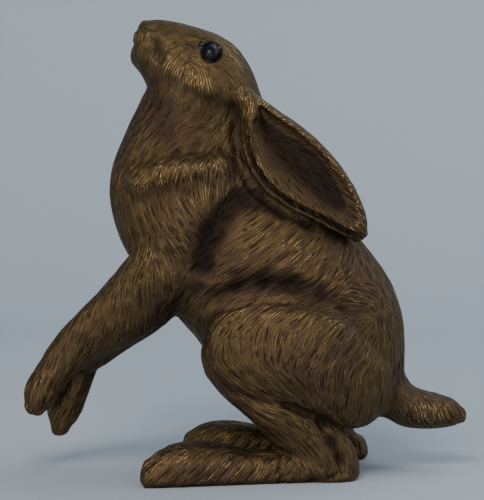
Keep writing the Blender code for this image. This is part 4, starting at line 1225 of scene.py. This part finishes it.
@dataclass
class Casting:
    """The hare itself: one carved and patinated casting."""

    skin_step: float
    triangles: int = 197500
    eyes: Eyes = field(default_factory=Eyes)
    body: Body = field(init=False)
    passes_at: float = 0.95
    even_passes: int = 8
    join_passes: int = 14
    form_passes: int = 2
    face_passes: int = 2
    relax_share: float = 0.5
    sole_edge: float = 2.2
    sole_rounding: float = 0.9
    face: tuple[float, float] = (-24.0, 146.0)
    hollow_passes: int = 70
    locks: Strokes = Strokes("locks", spacing=4.4, half_width=1.6, depth=0.42, length=14.0, batches=14,
                             seed=7, step=1.2, shortest=4.0)
    strokes: Strokes = Strokes("strokes", spacing=1.5, half_width=0.6, depth=0.33, length=9.0, batches=34,
                               seed=11)

    def __post_init__(self) -> None:
        """Lay out the body at the casting's fineness."""
        self.body = Body(self.skin_step)

    def carve(self, coat: Coat) -> None:
        """Cut the forms, the face, the feet, the locks and the strokes, and note what the finish needs.

        Numbers of passes are for the solid's coarser skin, and grow with the square of the fineness.

        Args:
            coat: The skin.
        """
        ears = Ears(self.body.ear)
        finer = (self.passes_at / (self.skin_step / UNIT)) ** 2
        coat.relax(self.relax_share, round(self.even_passes * finer))
        softer = np.maximum(Joins().share(coat.points), ears.inside(coat.points))
        coat.soften(softer, round(self.join_passes * finer))
        coat.push(Forms().heights(coat))
        coat.relax(self.relax_share, round(self.form_passes * finer))
        coat.push(self.eyes.heights(coat) + Toes(self.body).heights(coat) + Muzzle().heights(coat)
                  + ears.heights(coat))
        coat.relax(self.relax_share, self.face_passes)
        coat.push(-self.sole_rounding * np.clip(1 - coat.points[:, 2] / self.sole_edge, 0, 1) ** 2)
        lie = FurLie(ears).directions(coat)
        furry = (self.eyes.distance(coat.points) > self.eyes.clearing) & (coat.points[:, 2] > -0.5)
        face = np.linalg.norm(coat.points[:, [0, 2]] - self.face, axis=1)
        scale = np.interp(face, [8.0, 26.0, 44.0], [0.6, 0.8, 1.0])
        on_ear = ears.mask(coat.points)
        coat.push(-self.locks.depth * self.locks.carve(coat, lie, furry & ~on_ear, scale))
        coat.note("hollow", coat.hollowness(self.hollow_passes))
        # Rubbing and wax with painted light: on the ears, gold at the rim and wax with painted shade under
        # the rim and in the groove; elsewhere, the patches.
        coat.note("wear_and_painted_light", np.where(on_ear, 0.80 - 1.75 * ears.shade(coat.points), WearAndPaintedLight().amount(coat.points)))
        furrow = self.strokes.carve(coat, lie, furry, scale)
        coat.push(-self.strokes.depth * furrow)
        coat.note("furrow", furrow)
        coat.note("across", np.cross(coat.normals, lie))

    def settle(self, coat: Coat) -> None:
        """Stand the casting where its solid is: the middle of its box above the origin."""
        low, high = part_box("hare")
        middle = np.array((low + high) / 2) / UNIT
        own = (coat.points.min(axis=0) + coat.points.max(axis=0)) / 2
        coat.points[:, :2] += middle[:2] - own[:2]
        coat.write()

    def flatten_soles(self, mesh: bpy.types.Mesh) -> None:
        """Cut off what is below the ground and close the soles."""
        shape = bmesh.new()
        shape.from_mesh(mesh)
        everything = shape.verts[:] + shape.edges[:] + shape.faces[:]
        bmesh.ops.bisect_plane(shape, geom=everything, dist=1e-6, plane_co=(0, 0, 0), plane_no=(0, 0, -1),
                               clear_outer=True)
        rim = [edge for edge in shape.edges if edge.is_boundary]
        made = bmesh.ops.holes_fill(shape, edges=rim, sides=0)
        bmesh.ops.triangulate(shape, faces=made["faces"])
        shape.to_mesh(mesh)
        shape.free()

    def build(self) -> bpy.types.Object:
        """Model and finish the casting.

        Returns:
            The one piece.
        """
        casting = self.body.fused()
        coat = Coat(casting.data)
        LOG.info("skin of %d points", len(coat.points))
        self.carve(coat)
        self.settle(coat)
        thin = casting.modifiers.new("thinned", "DECIMATE")
        thin.ratio = min(1.0, self.triangles / (2 * len(casting.data.polygons)))
        apply_modifiers(casting)
        self.flatten_soles(casting.data)
        casting.data.materials.clear()
        casting.data.materials.append(BronzeFinish().material(self.eyes))
        casting.data.shade_smooth()
        casting.data.set_sharp_from_angle(angle=math.radians(75))
        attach(casting, "root")
        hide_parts("hare")
        LOG.info("%s: %d triangles", casting.name, len(casting.data.polygons))
        return casting


@dataclass(frozen=True)
class Studio:
    """A pale floor that sweeps up behind the hare, soft lights, and the camera."""

    floor_colour: tuple[float, ...] = (0.405, 0.460, 0.515, 1.0)
    camera_place: tuple[float, float, float] = (-0.0015, -0.6916, 0.1462)
    camera_aim: tuple[float, float, float] = (-0.0015, 0.0, 0.0785)
    lens: float = 140.57

    def floor(self) -> None:
        """A sheet that is flat under the hare and turns up behind it along a quarter circle."""
        radius, reach, width, top, front = 0.4, 0.35, 8.0, 2.4, -8.0
        turn = np.linspace(0, math.pi / 2, 24)
        y = np.concatenate([[front], reach + radius * np.sin(turn), [reach + radius]])
        z = np.concatenate([[0.0], radius * (1 - np.cos(turn)), [top]])
        across = np.linspace(-width, width, 2)
        points = np.stack([np.repeat(across, len(y)), np.tile(y, 2), np.tile(z, 2)], axis=1)
        first = np.arange(len(y) - 1)
        quads = np.stack([first, first + len(y), first + len(y) + 1, first + 1], axis=1)
        mesh = bpy.data.meshes.new("floor")
        mesh.from_pydata(points.tolist(), [], quads.tolist())
        mesh.shade_smooth()
        floor = bpy.data.objects.new("floor", mesh)
        bpy.context.scene.collection.objects.link(floor)
        material = bpy.data.materials.new("pale_floor")
        material.use_nodes = True
        shader = material.node_tree.nodes["Principled BSDF"]
        shader.inputs["Base Color"].default_value = self.floor_colour
        shader.inputs["Roughness"].default_value = 0.85
        mesh.materials.append(material)

    def light(self, name: str, place: tuple[float, float, float], size: tuple[float, float], power: float,
              colour: tuple[float, float, float]) -> None:
        """Add a rectangular lamp that faces the hare.

        Args:
            name: The lamp's name.
            place: Where it hangs, in metres.
            size: Its two sides.
            power: Watts.
            colour: Its light.
        """
        lamp = bpy.data.lights.new(name, "AREA")
        lamp.shape = "RECTANGLE"
        lamp.size, lamp.size_y = size
        lamp.energy = power
        lamp.color = colour
        item = bpy.data.objects.new(name, lamp)
        item.location = place
        item.rotation_euler = (Vector((0, 0, 0.08)) - Vector(place)).to_track_quat("-Z", "Y").to_euler()
        bpy.context.scene.collection.objects.link(item)

    def camera(self) -> None:
        """Stand the camera where the photograph was taken from."""
        data = bpy.data.cameras.new("camera")
        data.lens = self.lens
        data.sensor_width = 36.0
        data.clip_start = 0.01
        item = bpy.data.objects.new("camera", data)
        item.location = self.camera_place
        aim = Vector(self.camera_aim) - Vector(self.camera_place)
        item.rotation_euler = aim.to_track_quat("-Z", "Y").to_euler()
        bpy.context.scene.collection.objects.link(item)
        bpy.context.scene.camera = item

    def build(self) -> None:
        """Set up floor, lights, sky and camera."""
        self.floor()
        self.light("key", (-0.20, -0.75, 1.00), (0.6, 0.4), 7.0, (1.0, 0.97, 0.92))
        self.light("fill", (0.10, -1.50, 0.30), (1.6, 0.7), 9.0, (1.0, 0.98, 0.96))
        self.light("side", (1.10, -0.05, 0.60), (0.9, 0.9), 5.5, (0.80, 0.90, 1.0))
        self.light("left", (-1.05, -0.65, 0.28), (0.9, 0.7), 5.0, (1.0, 0.98, 0.95))
        self.light("overhead", (0.50, 0.45, 1.10), (0.8, 0.5), 3.5, (0.90, 0.95, 1.0))
        world = bpy.data.worlds.new("sky")
        bpy.context.scene.world = world
        world.use_nodes = True
        sky = world.node_tree.nodes["Background"]
        sky.inputs["Color"].default_value = (0.62, 0.70, 0.76, 1.0)
        sky.inputs["Strength"].default_value = 0.35
        self.camera()


def main() -> None:
    """Build the studio and the hare."""
    logging.basicConfig(level=logging.INFO, format="%(name)s: %(message)s")
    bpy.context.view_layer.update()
    Studio().build()
    casting = Casting(skin_step=0.00039).build()
    LOG.info("piece %s", casting.name)


if __name__ == "__main__":
    main()
